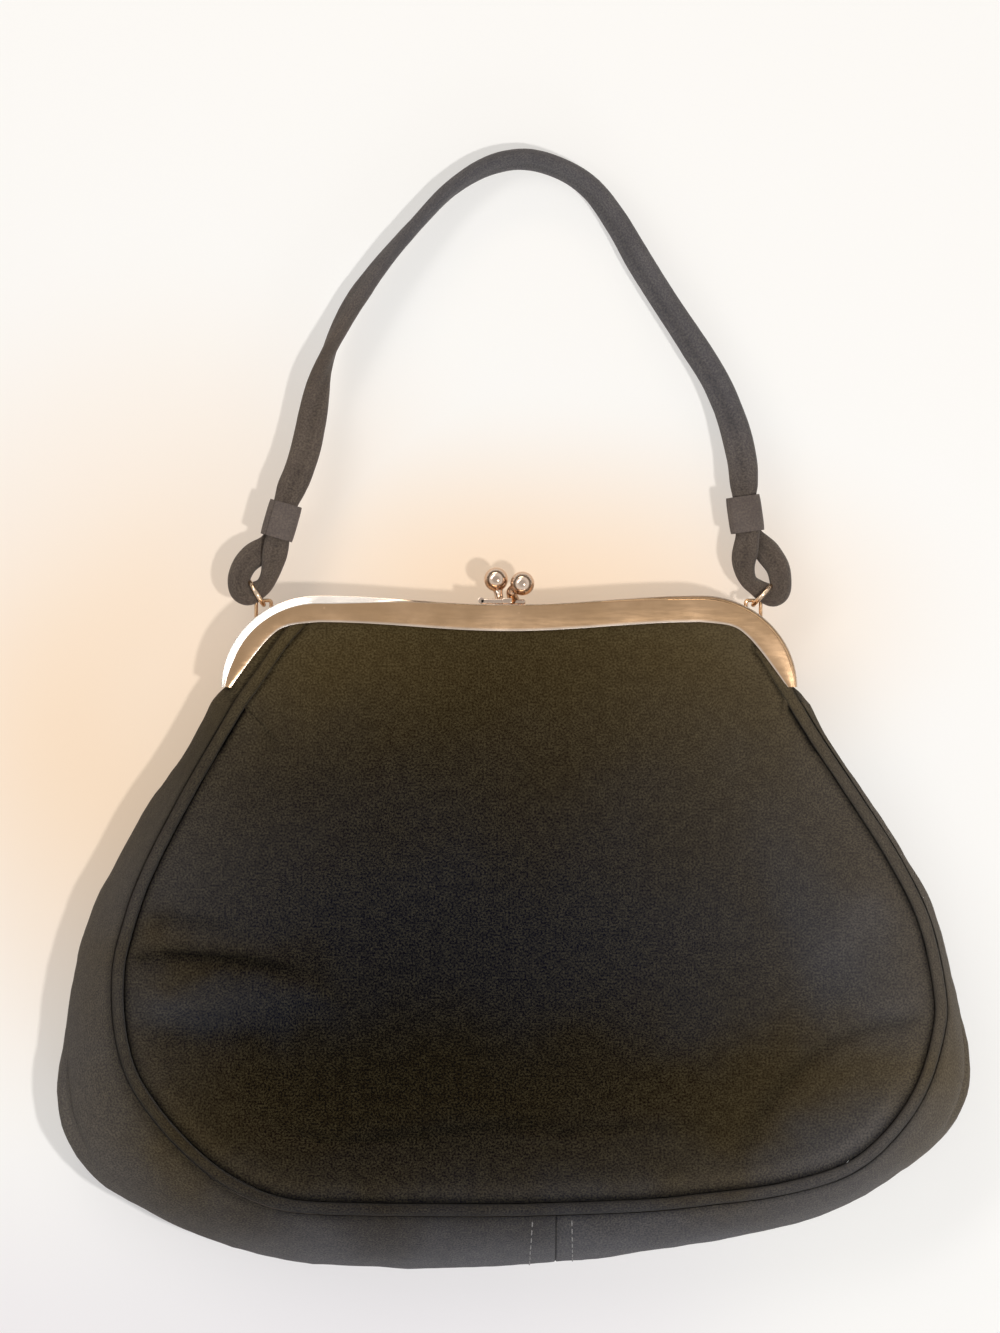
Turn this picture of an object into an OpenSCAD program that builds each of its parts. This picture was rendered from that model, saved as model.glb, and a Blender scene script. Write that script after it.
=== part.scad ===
// A frame handbag of dark cloth, lying on its back as it does in the photograph.
// X runs along the frame, Y from the bottom of the bag to the handle, and Z up from the surface.
// The outline is symmetric about X = 0, and the frame sits a little to the left of that.

/* [Bag] */
// Width of the bag's outline at its widest
bag_w = 303; // [260:1:330]
// Height of the bag, from the top of the frame to the bottom of the gusset
bag_h = 224; // [200:1:250]
// Height of the front panel's crown above the surface
crown_z = 46; // [42:1:54]
// Height of the front seam above the surface, along the lower part of the bag
front_seam_z = 34; // [30:1:37]
// Height of the back seam above the surface, along the lower part of the bag
back_seam_z = 2.8; // [2.6:0.1:5]
// Height at which the gusset bulges furthest
bulge_z = 18; // [14:1:22]
// How far the back panel has slipped to the left under the front panel
slip_x = 9; // [5:1:12]
// How far the back panel has slipped down under the front panel
slip_y = 10; // [5:1:13]

/* [Cloth] */
// Thickness of the outer cloth with its backing
cloth_t = 1.2; // [1:0.1:1.6]
// Thickness of the lining
lining_t = 0.5; // [0.4:0.1:0.7]
// Width of the bead of piping in the seams
piping_w = 4; // [3:0.1:4.4]
// Height of the bead of piping above the middle of the cloth
piping_h = 2.3; // [1.5:0.1:2.5]
// Clearance beside the piping
seam_gap = 0.25; // [0.15:0.05:0.4]
// Clearance between the outer cloth and the lining
lining_gap = 0.5; // [0.4:0.1:0.7]

/* [Frame] */
// Width of the frame across the ends of its legs
frame_w = 191.6; // [180:0.1:200]
// Height of the frame above the ends of its legs
frame_h = 30.5; // [28:0.1:34]
// Width of each rounded shoulder
shoulder_w = 32.3; // [28:0.1:36]
// How far the top bar dips in its middle
bar_dip = 3; // [1:0.1:4]
// Height of the frame's face along the top bar
face_h = 9; // [7:0.1:10]
// Width of a leg at its end
leg_w = 3.5; // [3:0.1:4.5]
// Thickness of each half of the frame
half_t = 7.5; // [7:0.1:8.5]
// Thickness of the face plate
plate_t = 1; // [0.8:0.1:1.2]
// Thickness of the wall round the outside of the frame
rim_t = 1.3; // [1:0.1:1.5]
// Thickness of the flange behind the cloth
flange_t = 0.9; // [0.7:0.1:1.1]
// Radius of the frame's outer edge
edge_r = 1.4; // [0.8:0.1:1.6]
// Gap between the two halves when the frame is shut
shut_gap = 0.1; // [0.06:0.02:0.2]
// Height of the plane between the two halves above the surface
mid_z = 18; // [16:0.5:21]

/* [Hinge] */
// Radius of the hinge ears at the ends of the legs
ear_r = 2.5; // [2.2:0.1:2.8]
// Thickness of each hinge ear
ear_t = 1; // [0.8:0.1:1.1]
// Distance of the hinge's axis below the ends of the legs
ear_drop = 2.9; // [2.8:0.1:3.3]
// Gap between the two ears of a hinge
ear_gap = 0.2; // [0.1:0.05:0.25]
// Diameter of the hinge rivets
rivet_d = 1.8; // [1.4:0.1:2]
// Diameter of the rivets' heads
rivet_head_d = 3.4; // [3:0.1:4]
// Thickness of the rivets' heads
rivet_head_t = 0.7; // [0.5:0.1:0.8]
// Clearance between a rivet and the ear that turns on it, on the radius
rivet_clearance = 0.05; // [0.02:0.01:0.1]

/* [Clasp] */
// Diameter of the two clasp balls
ball_d = 8; // [7:0.1:8.3]
// Distance between the two balls, from centre to centre along the bar
ball_pitch = 8.75; // [8.6:0.05:9.5]
// Height of the front half's ball above the top bar
front_ball_h = 8.4; // [7.5:0.1:9.5]
// Height of the back half's ball above the top bar
back_ball_h = 7; // [6.5:0.1:8]
// How far each ball leans over the other half
ball_lean = 1.2; // [0.6:0.1:1.8]
// Diameter of the balls' stems
stem_d = 2.4; // [2:0.1:2.8]
// Length of the plate under the front half's ball
clasp_plate_l = 10.5; // [9:0.1:12]
// Thickness of the plates under the balls
clasp_plate_t = 1.7; // [1.2:0.1:2]
// Depth of the plates under the balls, across the frame
clasp_plate_d = 4.6; // [4:0.1:5.5]

/* [Handle] */
// Height of the handle above the top of the frame
handle_rise = 149.5; // [120:0.5:170]
// Width of the handle's strap
strap_w = 10; // [9:0.1:10.4]
// Thickness of the handle's strap
strap_t = 5.2; // [4.6:0.1:5.4]
// Outer diameter of the handle rings
ring_d = 10.4; // [10.2:0.1:10.8]
// Diameter of the rings' wire
ring_wire_d = 1.5; // [1.3:0.05:1.6]
// Lean of the left ring away from upright
left_lean = 31; // [27:1:35]
// Lean of the right ring away from upright
right_lean = 43; // [38:1:46]
// Distance of each staple from the frame's side
staple_in = 13; // [12:0.1:14.8]
// Height of the staples' bars above the ends of the legs
staple_y = 28.9; // [28.4:0.1:29.8]
// Diameter of the staples' wire
staple_wire_d = 1.2; // [1:0.05:1.3]
// Distance between a staple's posts, from centre to centre
staple_pitch = 5; // [4.8:0.1:5.2]
// Running clearance between a ring and its staple
staple_play = 0.1; // [0.05:0.01:0.15]
// Width of the cloth sleeves that close the strap's loops
sleeve_w = 11.2; // [11:0.1:12]
// Thickness of the cloth sleeves
sleeve_d = 10; // [9.8:0.1:11]
// Length of the cloth sleeves
sleeve_l = 12; // [10:0.5:13]
// Thickness of the sleeves' cloth
sleeve_t = 0.8; // [0.6:0.1:0.9]

/* [Hidden] */
gilt = "#c9a06c";
cloth = "#2b2623";
cloth_edge = "#3a3532";
satin = "#4a3f39";

// Heights along Y, with the whole length centred on zero
overall_l = bag_h + handle_rise;
bar_top_y = bag_h - overall_l / 2;
leg_y = bar_top_y - frame_h;
axis_y = leg_y - ear_drop;

// The frame's place along X, as a share of the bag's width
frame_x_share = -0.0031;
frame_x = bag_w * frame_x_share;
bar_half = frame_w / 2 - shoulder_w;
staple_x = frame_w / 2 - staple_in;

// Counts of steps along the curves
shoulder_steps = 9;
bar_steps = 14;
seam_steps = 44;
curve_steps = 3;
gusset_angles = [90, 62, 32, 0, -32, -62, -90];
lining_angles = [90, 50, 0, -50, -90];

// Outline of the lying bag, from the left hinge round the bottom to the right hinge,
// in shares of the half width and of the height below the top of the frame
outline_shares = [
  [-0.666, 0.163], [-0.732, 0.245], [-0.793, 0.305], [-0.868, 0.394], [-0.932, 0.483],
  [-0.967, 0.573], [-0.985, 0.662], [-1.000, 0.736], [-0.980, 0.805], [-0.914, 0.870],
  [-0.796, 0.917], [-0.653, 0.960], [-0.466, 0.991], [-0.246, 1.000], [0.018, 0.996],
  [0.281, 0.978], [0.523, 0.949], [0.721, 0.912], [0.842, 0.863], [0.952, 0.803],
  [1.000, 0.736], [0.996, 0.662], [0.974, 0.580], [0.930, 0.468], [0.859, 0.383],
  [0.776, 0.305], [0.714, 0.245], [0.653, 0.163]
];
// Front seam, in the same shares
front_seam_shares = [
  [-0.600, 0.163], [-0.714, 0.297], [-0.802, 0.415], [-0.844, 0.498], [-0.862, 0.558],
  [-0.859, 0.637], [-0.833, 0.708], [-0.776, 0.769], [-0.703, 0.823], [-0.620, 0.867],
  [-0.525, 0.896], [-0.431, 0.906], [-0.229, 0.909], [0.013, 0.909], [0.277, 0.903],
  [0.431, 0.893], [0.585, 0.879], [0.730, 0.850], [0.824, 0.800], [0.895, 0.730],
  [0.933, 0.646], [0.936, 0.587], [0.903, 0.483], [0.838, 0.392], [0.762, 0.310],
  [0.672, 0.218], [0.622, 0.163]
];
// Share of the run of the gusset at which its two pieces are sewn together
gusset_join_share = 0.545;
// Share of the slip that the back seam already has at the hinges
hinge_slip_share = 0.45;
// Where the seams reach their full height, as a share of the bag's height
seam_full_share = 0.72;
// Centre of the panels, as shares of the half width and of the height
panel_centre_share = [0.02, 0.56];

function blend(a, b, t) = a + (b - a) * t;
function smooth(t) = let (c = max(0, min(1, t))) c * c * (3 - 2 * c);
function span_point(p, i, t) =
  let (a = p[max(0, i - 1)], b = p[i], c = p[i + 1], d = p[min(len(p) - 1, i + 2)])
  (2 * b + (c - a) * t + (2 * a - 5 * b + 4 * c - d) * t * t + (3 * b - a - 3 * c + d) * t * t * t) / 2;
function curve(p, n) =
  [for (i = [0 : len(p) - 2], k = [0 : n - 1]) span_point(p, i, k / n), p[len(p) - 1]];
function runs(p) =
  [for (i = 0, d = 0; i < len(p); d = i + 1 < len(p) ? d + norm(p[i + 1] - p[i]) : d, i = i + 1) d];
function column(r, p, k) = [for (i = [0 : len(p) - 1]) [r[i], p[i][k]]];
function even(p, n) =
  let (r = runs(p), x = column(r, p, 0), y = column(r, p, 1), all = r[len(p) - 1])
  [for (k = [0 : n]) [lookup(all * k / n, x), lookup(all * k / n, y)]];
function outward(p) =
  [for (i = [0 : len(p) - 1])
    let (d = p[min(len(p) - 1, i + 1)] - p[max(0, i - 1)]) [d[1], -d[0]] / norm(d)];
function placed(shares) =
  [for (s = shares) [s[0] * bag_w / 2, bar_top_y - s[1] * bag_h]];
function depth_share(y) = (bar_top_y - y) / bag_h;

// The seams and the outline at matching stations
bag_outline = even(curve(placed(outline_shares), curve_steps), seam_steps);
front_seam = even(curve(placed(front_seam_shares), curve_steps), seam_steps);
front_out = outward(front_seam);
top_share = outline_shares[0][1];
function lowered(y) = smooth((depth_share(y) - top_share) / (seam_full_share - top_share));
back_seam = [for (p = front_seam) p
  - [slip_x * blend(hinge_slip_share, 1, lowered(p[1])), slip_y * lowered(p[1])]];
back_out = outward(back_seam);

// Heights of the middle of the cloth: in the frame's channels, and along the seams
channel_z = half_t - plate_t - seam_gap - cloth_t / 2;
function front_seam_height(y) = blend(mid_z + channel_z, front_seam_z, lowered(y));
function back_seam_height(y) = blend(mid_z - channel_z, back_seam_z, lowered(y));
function bulge_height(y) = blend(mid_z, bulge_z, lowered(y));

// Distance from the seam's line to the edge of the cloth beside the piping
bead_reach = piping_w / 2 + seam_gap;
// The outline stands off the seam at least this far
least_bulge = bead_reach + cloth_t + seam_gap;
pushes = [for (i = [0 : seam_steps])
  max(0, least_bulge - (bag_outline[i] - front_seam[i]) * front_out[i])];
outline_out = outward(bag_outline);

// Outer and inner line of the frame, from the left leg over the bar to the right leg
function bar_y(x) = frame_h - bar_dip * (1 + cos(180 * min(1, abs(x) / bar_half))) / 2;
half_arch = [for (k = [0 : shoulder_steps - 1])
  let (a = 90 * k / shoulder_steps) [-bar_half - shoulder_w * cos(a), frame_h * sin(a)]];
bar_line = [for (k = [0 : bar_steps]) let (x = bar_half * (2 * k / bar_steps - 1)) [x, bar_y(x)]];
function mirrored(p) = [for (i = [len(p) - 1 : -1 : 0]) [-p[i][0], p[i][1]]];
frame_outer = concat(half_arch, bar_line, mirrored(half_arch));
// The inside of a leg, in shares of the shoulder's width and height
leg_inside_shares = [[0.66, 0.335], [0.48, 0.555], [0.31, 0.665]];
leg_inside = concat([[-frame_w / 2 + leg_w, 0]],
  [for (s = leg_inside_shares) [-bar_half - shoulder_w * s[0], frame_h * s[1]]],
  [[-bar_half, frame_h - face_h]]);
half_inside = even(curve(leg_inside, curve_steps), shoulder_steps);
half_inner = [for (k = [0 : shoulder_steps - 1]) half_inside[k]];
bar_inner = [for (p = bar_line) p - [0, face_h]];
frame_inner = concat(half_inner, bar_inner, mirrored(half_inner));
frame_steps = len(frame_outer) - 1;
// Depth of the flange behind the cloth, as a share of the face
flange_share = 0.86;
lip_r = plate_t / 2;
edge_mid_share = 1 - sqrt(0.5);

// Faces of a sweep of closed rings, each of n points, with flat ends that are cut into triangles
function ring_faces(count, n) = [for (r = [0 : count - 2], k = [0 : n - 1])
  each [[r * n + k, r * n + (k + 1) % n, (r + 1) * n + (k + 1) % n],
    [r * n + k, (r + 1) * n + (k + 1) % n, (r + 1) * n + k]]];
function fan(n) = [for (k = [1 : n - 2]) [0, k, k + 1]];
function turned(faces) = [for (f = faces) [f[2], f[1], f[0]]];
function swept_faces(count, n, cap) = concat(ring_faces(count, n), turned(cap),
  [for (f = cap) [for (k = f) (count - 1) * n + k]]);

// The rings are listed clockwise as they are seen from the sweep's start, or the other way when turned
module sweep(rings, cap, turn) {
  faces = swept_faces(len(rings), len(rings[0]), cap);
  polyhedron(points = [for (r = rings) each r], faces = turn ? turned(faces) : faces);
}

// A sweep of a thin strip: the first half of each ring is its inner side and the rest its outer side
module strip(rings) {
  n = len(rings[0]);
  h = n / 2;
  last = (len(rings) - 1) * n;
  near = [for (k = [0 : h - 2]) each [[k + 1, k, n - 1 - k], [k + 1, n - 1 - k, n - 2 - k]]];
  far = [for (f = near) [f[2] + last, f[1] + last, f[0] + last]];
  polyhedron(points = [for (r = rings) each r], faces = concat(ring_faces(len(rings), n), near, far));
}

// Section of one half of the frame: a channel that opens towards the bag.
// It runs from the parting plane outwards, with w the width of the face there.
function half_section(w) =
  let (z0 = shut_gap / 2, c = edge_r * edge_mid_share, f = max(rim_t + lip_r, w * flange_share))
  [[0, z0], [0, half_t - edge_r], [c, half_t - c], [edge_r, half_t], [w - lip_r, half_t],
    [w, half_t - lip_r], [w, half_t - plate_t], [rim_t, half_t - plate_t],
    [rim_t, z0 + flange_t], [f, z0 + flange_t], [f, z0]];

// Triangles that fill the section: the curved edge with the plate, the rim and the flange
plate_cap = [for (k = [1 : 5]) [7, k, k + 1]];
rim_cap = [[0, 1, 7], [0, 7, 8]];
flange_cap = [[0, 8, 9], [0, 9, 10]];
section_cap = concat(plate_cap, rim_cap, flange_cap);

module frame_half(side) {
  rings = [for (i = [0 : frame_steps])
    let (o = frame_outer[i], v = frame_inner[i] - o, w = norm(v))
    [for (q = half_section(w)) let (p = o + v / w * q[0]) [frame_x + p[0], leg_y + p[1], mid_z + side * q[1]]]];
  sweep(rings, section_cap, side > 0);
}

// Each hinge has the back half's ear outside and the front half's ear inside
back_ear_x = frame_w / 2 - rim_t - ear_gap - ear_t;
front_ear_x = back_ear_x - ear_gap - ear_t;
// The ears' necks run up inside the channels, clear of the flanges' ends, and join the flanges above
neck_rise = ear_r;
foot_rise = ear_r / 4;
neck_gap = 0.1;
neck_z = shut_gap / 2 + flange_t + neck_gap;
foot_z = (shut_gap + flange_t) / 2;

module along_x(x, d, l) {
  translate([x, axis_y, mid_z]) rotate([0, 90, 0]) cylinder(d = d, h = l, $fn = 48);
}

// One ear with its neck, on the right of a frame that is centred on zero
module ear(x, side, hole_d) {
  difference() {
    union() {
      along_x(x, ear_r * 2, ear_t);
      translate([x, axis_y, side > 0 ? mid_z + neck_z : mid_z - ear_r])
        cube([ear_t, ear_drop + neck_rise, ear_r - neck_z]);
      translate([x, leg_y + foot_rise, side > 0 ? mid_z + foot_z : mid_z - ear_r])
        cube([ear_t, neck_rise - foot_rise, ear_r - foot_z]);
    }
    along_x(x - ear_t, hole_d, ear_t * 3);
  }
}

module frame_front() {
  color(gilt) {
    frame_half(1);
    for (s = [0, 1])
      translate([frame_x, 0, 0]) mirror([s, 0, 0]) ear(front_ear_x, 1, rivet_d + 2 * rivet_clearance);
  }
}

module frame_back() {
  color(gilt) {
    frame_half(-1);
    for (s = [0, 1])
      translate([frame_x, 0, 0]) mirror([s, 0, 0]) ear(back_ear_x, -1, rivet_d);
  }
}

// A hinge rivet on the right of the frame, or on its left when mirrored
module hinge_rivet(side) {
  inner_x = front_ear_x - ear_gap - rivet_head_t;
  outer_x = back_ear_x + ear_t;
  color(gilt) translate([frame_x, 0, 0]) mirror([side < 0 ? 1 : 0, 0, 0]) {
    along_x(inner_x, rivet_head_d, rivet_head_t);
    along_x(inner_x, rivet_d, outer_x + rivet_head_t - inner_x);
    along_x(outer_x, rivet_head_d, rivet_head_t);
  }
}

// A round bar between two points
module rod(p, q, d) {
  v = q - p;
  translate(p) rotate([0, acos(v[2] / norm(v)), atan2(v[1], v[0])]) cylinder(d = d, h = norm(v), $fn = 32);
}

// A clasp's plate touches the bar where that is highest under it
function clasp_base(x, l) = leg_y + max(lookup(x, bar_line), lookup(x + l, bar_line));

// A clasp ball on its stem, which rises from a plate on the rim of one half and leans over the other
module clasp(side, ball_x, ball_h, plate_x, plate_l) {
  base_y = clasp_base(plate_x, plate_l);
  stem_foot = [frame_x + ball_x, base_y + clasp_plate_t / 2, mid_z + side * half_t / 2];
  ball = [frame_x + ball_x, leg_y + bar_y(0) + ball_h, mid_z - side * ball_lean];
  color(gilt) {
    translate([frame_x + plate_x, base_y, mid_z + side * half_t / 2 - clasp_plate_d / 2])
      cube([plate_l, clasp_plate_t, clasp_plate_d]);
    rod(stem_foot, ball, stem_d);
    translate(ball) sphere(d = ball_d, $fn = 64);
  }
}

// Length of the front plate to the left of its ball, and of the back plate, as shares
front_plate_share = 0.5;
back_plate_share = 0.42;
// The front plate's left end is rolled up, to this diameter
roll_share = 1.3;
roll_d = clasp_plate_t * roll_share;

module clasp_front() {
  plate_x = -ball_pitch / 2 - clasp_plate_l * front_plate_share;
  clasp(1, -ball_pitch / 2, front_ball_h, plate_x, clasp_plate_l);
  color(gilt)
    translate([frame_x + plate_x, clasp_base(plate_x, clasp_plate_l) + roll_d / 2, mid_z + half_t / 2 - clasp_plate_d / 2])
      cylinder(d = roll_d, h = clasp_plate_d, $fn = 32);
}

module clasp_back() {
  plate_l = clasp_plate_l * back_plate_share;
  clasp(-1, ball_pitch / 2, back_ball_h, ball_pitch / 2 - plate_l / 2, plate_l);
}

// The staples stand on the back half's rim, and the rings hang on their bars
staple_z = mid_z - half_t / 2;
ring_r = (ring_d - ring_wire_d) / 2;
// The ring's wire passes this far under the staple's bar, from centre to centre
wire_under_bar = ring_wire_d / 2 + staple_wire_d / 2 + staple_play;
function rim_y(x) =
  let (s = (abs(x) - bar_half) / shoulder_w) s <= 0 ? bar_y(x) : frame_h * sqrt(max(0, 1 - s * s));
function lean_of(side) = side < 0 ? left_lean : right_lean;
function hang(side) = ring_r - wire_under_bar / cos(lean_of(side));
function ring_x(side) = staple_x + hang(side) * sin(lean_of(side));
function ring_y(side) = leg_y + staple_y + hang(side) * cos(lean_of(side));

// A staple stands astride the ring's wire, where that passes under its bar
function staple_mid(side) = side * (staple_x - wire_under_bar * tan(lean_of(side)));

module staple(side) {
  y = leg_y + staple_y;
  color(gilt) {
    for (e = [-1, 1]) {
      x = staple_mid(side) + e * staple_pitch / 2;
      post_y = leg_y + rim_y(x) - rim_t;
      translate([frame_x + x, post_y, staple_z])
        rotate([-90, 0, 0]) cylinder(d = staple_wire_d, h = y - post_y, $fn = 32);
      translate([frame_x + x, y, staple_z]) sphere(d = staple_wire_d, $fn = 32);
    }
    translate([frame_x + staple_mid(side) - staple_pitch / 2, y, staple_z])
      rotate([0, 90, 0]) cylinder(d = staple_wire_d, h = staple_pitch, $fn = 32);
  }
}

module handle_ring(side) {
  color(gilt)
    translate([frame_x + side * ring_x(side), ring_y(side), staple_z]) rotate([90, 0, 90 - side * lean_of(side)])
      rotate_extrude($fn = 64) translate([ring_r, 0]) circle(d = ring_wire_d, $fn = 32);
}

// Route of the strap from its left end to its right end, as shares. Each row has the place across
// and up, as shares of the distance to a ring and of the rise above it, the height above the
// surface as a share of the rings' height, the half width and half thickness as shares of the
// strap's, and the twist in degrees. The ends turn back through the rings into the sleeves.
strap_route_shares = [
  [-0.890, 0.195, 0.848, 0.40, 0.33, 0], [-0.905, 0.166, 0.848, 0.40, 0.33, 0],
  [-0.924, 0.130, 0.842, 0.40, 0.34, 0], [-0.951, 0.110, 0.84, 0.36, 0.40, 0],
  [-1.000, 0.092, 0.89, 0.29, 0.56, 0], [-1.045, 0.067, 0.98, 0.25, 0.66, 0],
  [-1.069, 0.034, 1.00, 0.22, 0.62, 0], [-1.064, 0.006, 1.00, 0.20, 0.57, 0],
  [-1.034, -0.004, 1.00, 0.19, 0.54, 0], [-1.002, 0.005, 1.00, 0.19, 0.54, 0],
  [-0.970, 0.018, 1.00, 0.20, 0.56, 0], [-0.948, 0.042, 1.02, 0.24, 0.62, 0],
  [-0.934, 0.072, 1.08, 0.32, 0.54, 0], [-0.926, 0.093, 1.12, 0.36, 0.45, 0],
  [-0.917, 0.120, 1.15, 0.40, 0.35, 0], [-0.905, 0.160, 1.152, 0.40, 0.33, 0],
  [-0.886, 0.202, 1.152, 0.40, 0.34, 0], [-0.862, 0.240, 1.12, 0.48, 0.46, 0],
  [-0.836, 0.275, 1.08, 0.50, 0.50, 2], [-0.806, 0.330, 1.02, 0.50, 0.50, 6],
  [-0.782, 0.396, 0.94, 0.50, 0.50, 16], [-0.752, 0.488, 0.86, 0.50, 0.50, 55],
  [-0.724, 0.540, 0.82, 0.50, 0.50, 82], [-0.684, 0.595, 0.78, 0.50, 0.50, 104],
  [-0.613, 0.671, 0.71, 0.50, 0.50, 118], [-0.499, 0.763, 0.62, 0.50, 0.50, 106],
  [-0.361, 0.855, 0.53, 0.50, 0.50, 92], [-0.234, 0.931, 0.46, 0.50, 0.50, 84],
  [-0.086, 0.984, 0.41, 0.50, 0.50, 70], [0.063, 1.000, 0.40, 0.50, 0.50, 62],
  [0.209, 0.977, 0.42, 0.50, 0.50, 60], [0.327, 0.931, 0.46, 0.50, 0.50, 55],
  [0.425, 0.855, 0.53, 0.50, 0.50, 46], [0.517, 0.763, 0.62, 0.50, 0.50, 38],
  [0.616, 0.671, 0.71, 0.50, 0.50, 36], [0.719, 0.580, 0.79, 0.50, 0.50, 32],
  [0.817, 0.488, 0.87, 0.50, 0.50, 25], [0.883, 0.396, 0.95, 0.50, 0.50, 17],
  [0.920, 0.310, 1.04, 0.50, 0.50, 9], [0.928, 0.255, 1.11, 0.48, 0.46, 3],
  [0.930, 0.220, 1.152, 0.40, 0.34, 0], [0.936, 0.182, 1.152, 0.40, 0.33, 0],
  [0.943, 0.138, 1.15, 0.40, 0.35, 0], [0.936, 0.104, 1.10, 0.38, 0.42, 0],
  [0.928, 0.075, 1.06, 0.34, 0.52, 0], [0.933, 0.049, 1.02, 0.27, 0.60, 0],
  [0.950, 0.027, 1.00, 0.21, 0.58, 0], [0.980, 0.013, 1.00, 0.19, 0.55, 0],
  [1.010, 0.002, 1.00, 0.19, 0.54, 0], [1.044, -0.007, 1.00, 0.19, 0.54, 0],
  [1.069, 0.003, 1.00, 0.20, 0.57, 0], [1.074, 0.026, 1.00, 0.21, 0.62, 0],
  [1.063, 0.059, 0.98, 0.24, 0.66, 0], [1.031, 0.088, 0.92, 0.27, 0.60, 0],
  [0.998, 0.111, 0.86, 0.32, 0.46, 0], [0.962, 0.129, 0.84, 0.38, 0.36, 0],
  [0.944, 0.152, 0.848, 0.40, 0.33, 0], [0.936, 0.185, 0.848, 0.40, 0.33, 0],
  [0.929, 0.218, 0.848, 0.40, 0.33, 0]
];
strap_steps = 2;
strap_sides = 10;
// Roundness of the strap's section: 1 would be an ellipse, and less is fuller
strap_fullness = 0.8;
// The loops' sideways shares are shares of this many strap widths
loop_reach_share = 8.435;
// The loops and sleeves end at this share of the rise, and the arch begins within the next
loop_top_share = 0.28;
loop_change_share = 0.4;
// The strap's widest reach at the top of the handle, as a share of its width
apex_reach_share = 0.33;
ring_mid_x = (ring_x(-1) + ring_x(1)) / 2;
ring_mid_y = ring_y(-1);
apex_y = overall_l / 2 - strap_w * apex_reach_share;

function full(c) = sign(c) * pow(abs(c), strap_fullness);
// The strap's loops and sleeves keep their size and lie beside their rings, whatever the frame's width.
// The arch above them follows the distance between the rings.
loop_reach = strap_w * loop_reach_share;
function strap_x(s) = blend(sign(s[0]) * (ring_mid_x + (abs(s[0]) - 1) * loop_reach), s[0] * ring_mid_x,
  smooth((s[1] - loop_top_share) / loop_change_share));
function strap_point(s) = [frame_x + strap_x(s), blend(ring_mid_y, apex_y, s[1]), s[2] * staple_z];
strap_rows = curve(strap_route_shares, strap_steps);
strap_line = [for (s = strap_rows) strap_point(s)];

function strap_ring(i) =
  let (s = strap_rows[i], last = len(strap_line) - 1,
    v = strap_line[min(last, i + 1)] - strap_line[max(0, i - 1)], t = v / norm(v),
    u = cross([0, 0, 1], t), across = u / norm(u), up = cross(t, across),
    a = across * cos(s[5]) + up * sin(s[5]), b = up * cos(s[5]) - across * sin(s[5]))
  [for (k = [0 : strap_sides - 1]) let (q = 360 * (k + 0.5) / strap_sides)
    strap_line[i] + a * full(cos(q)) * s[3] * strap_w + b * full(sin(q)) * s[4] * strap_t];

module handle_strap() {
  color(cloth) sweep([for (i = [0 : len(strap_line) - 1]) strap_ring(i)], fan(strap_sides), true);
}

// Places of the sleeves along the strap's route, as shares, and their turns in degrees
left_sleeve_share = [-0.902, 0.167];
right_sleeve_share = [0.936, 0.182];
left_sleeve_turn = -16;
right_sleeve_turn = 8;

module sleeve_outline(inset) {
  w = sleeve_w - 2 * inset;
  d = sleeve_d - 2 * inset;
  r = strap_t / 2 - inset;
  for (sx = [-1, 1], sy = [-1, 1])
    translate([sx * (w / 2 - r), sy * (d / 2 - r)]) circle(r = r, $fn = 32);
  square([w, d - 2 * r], center = true);
  square([w - 2 * r, d], center = true);
}

module sleeve(share, turn) {
  p = strap_point([share[0], share[1], 1]);
  color(cloth_edge) translate(p) rotate([0, 0, turn]) rotate([-90, 0, 0])
    translate([0, 0, -sleeve_l / 2]) linear_extrude(sleeve_l) difference() {
      sleeve_outline(0);
      sleeve_outline(sleeve_t);
    }
}

// Edge of a panel or a lining, all round: along its seam from left to right, then back over the
// arch inside the frame's channel. Its rows are the place and the height of the cloth's middle.
function arch_line(inset) = [for (i = [frame_steps : -1 : 0])
  let (o = frame_outer[i], v = frame_inner[i] - o) o + v / norm(v) * (rim_t + inset) + [frame_x, leg_y]];
// The panels' shape changes over from the arch's to the seam's within this share of the height
change_share = 0.3;
function arch_weight(y) = 1 - smooth((depth_share(y) - top_share) / change_share);
arch_inset = leg_w / 6;
arch_skip = 2;
function thinned(p, n) = [for (i = [0 : n : len(p) - 1]) p[i]];
function panel_edge(seam, out, back_off, inset, side) = concat(
  [for (i = [0 : seam_steps]) let (p = seam[i] - out[i] * back_off)
    [p[0], p[1], side > 0 ? front_seam_height(front_seam[i][1]) : back_seam_height(front_seam[i][1]),
      arch_weight(front_seam[i][1])]],
  [for (p = thinned(arch_line(inset), arch_skip)) [p[0], p[1], mid_z + side * channel_z, 1]]);

centre = [panel_centre_share[0] * bag_w / 2, bar_top_y - panel_centre_share[1] * bag_h];
// Rings of a panel, as shares of the distance from its centre to its edge
front_rings = [1, 0.925, 0.76, 0.54, 0.32, 0.13];
hidden_share = front_rings[1];
// Share of the distance at which the back panel lies flat, under the seam and under the arch
flat_seam_share = 0.86;
flat_arch_share = 0.77;

// How full the front panel is beside its seams and below the arch: 1 would be a plain swell, and less is fuller
seam_fullness = 0.85;
arch_fullness = 0.75;

// Rise of the front panel from its edge to its crown, for a ring of share r
function swell(r, in_arch) = blend(pow(sin(90 * (1 - r)), seam_fullness),
  pow(sin(90 * max(0, 1 - r / hidden_share)), arch_fullness), in_arch);
function front_ring(edge, r, off) = [for (e = edge)
  let (low = e[2] + cloth_t / 2, last = r == front_rings[len(front_rings) - 1])
  [centre[0] + (e[0] - centre[0]) * r, centre[1] + (e[1] - centre[1]) * r,
    (last ? crown_z : blend(low, crown_z, swell(r, e[3]))) - off]];

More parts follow.
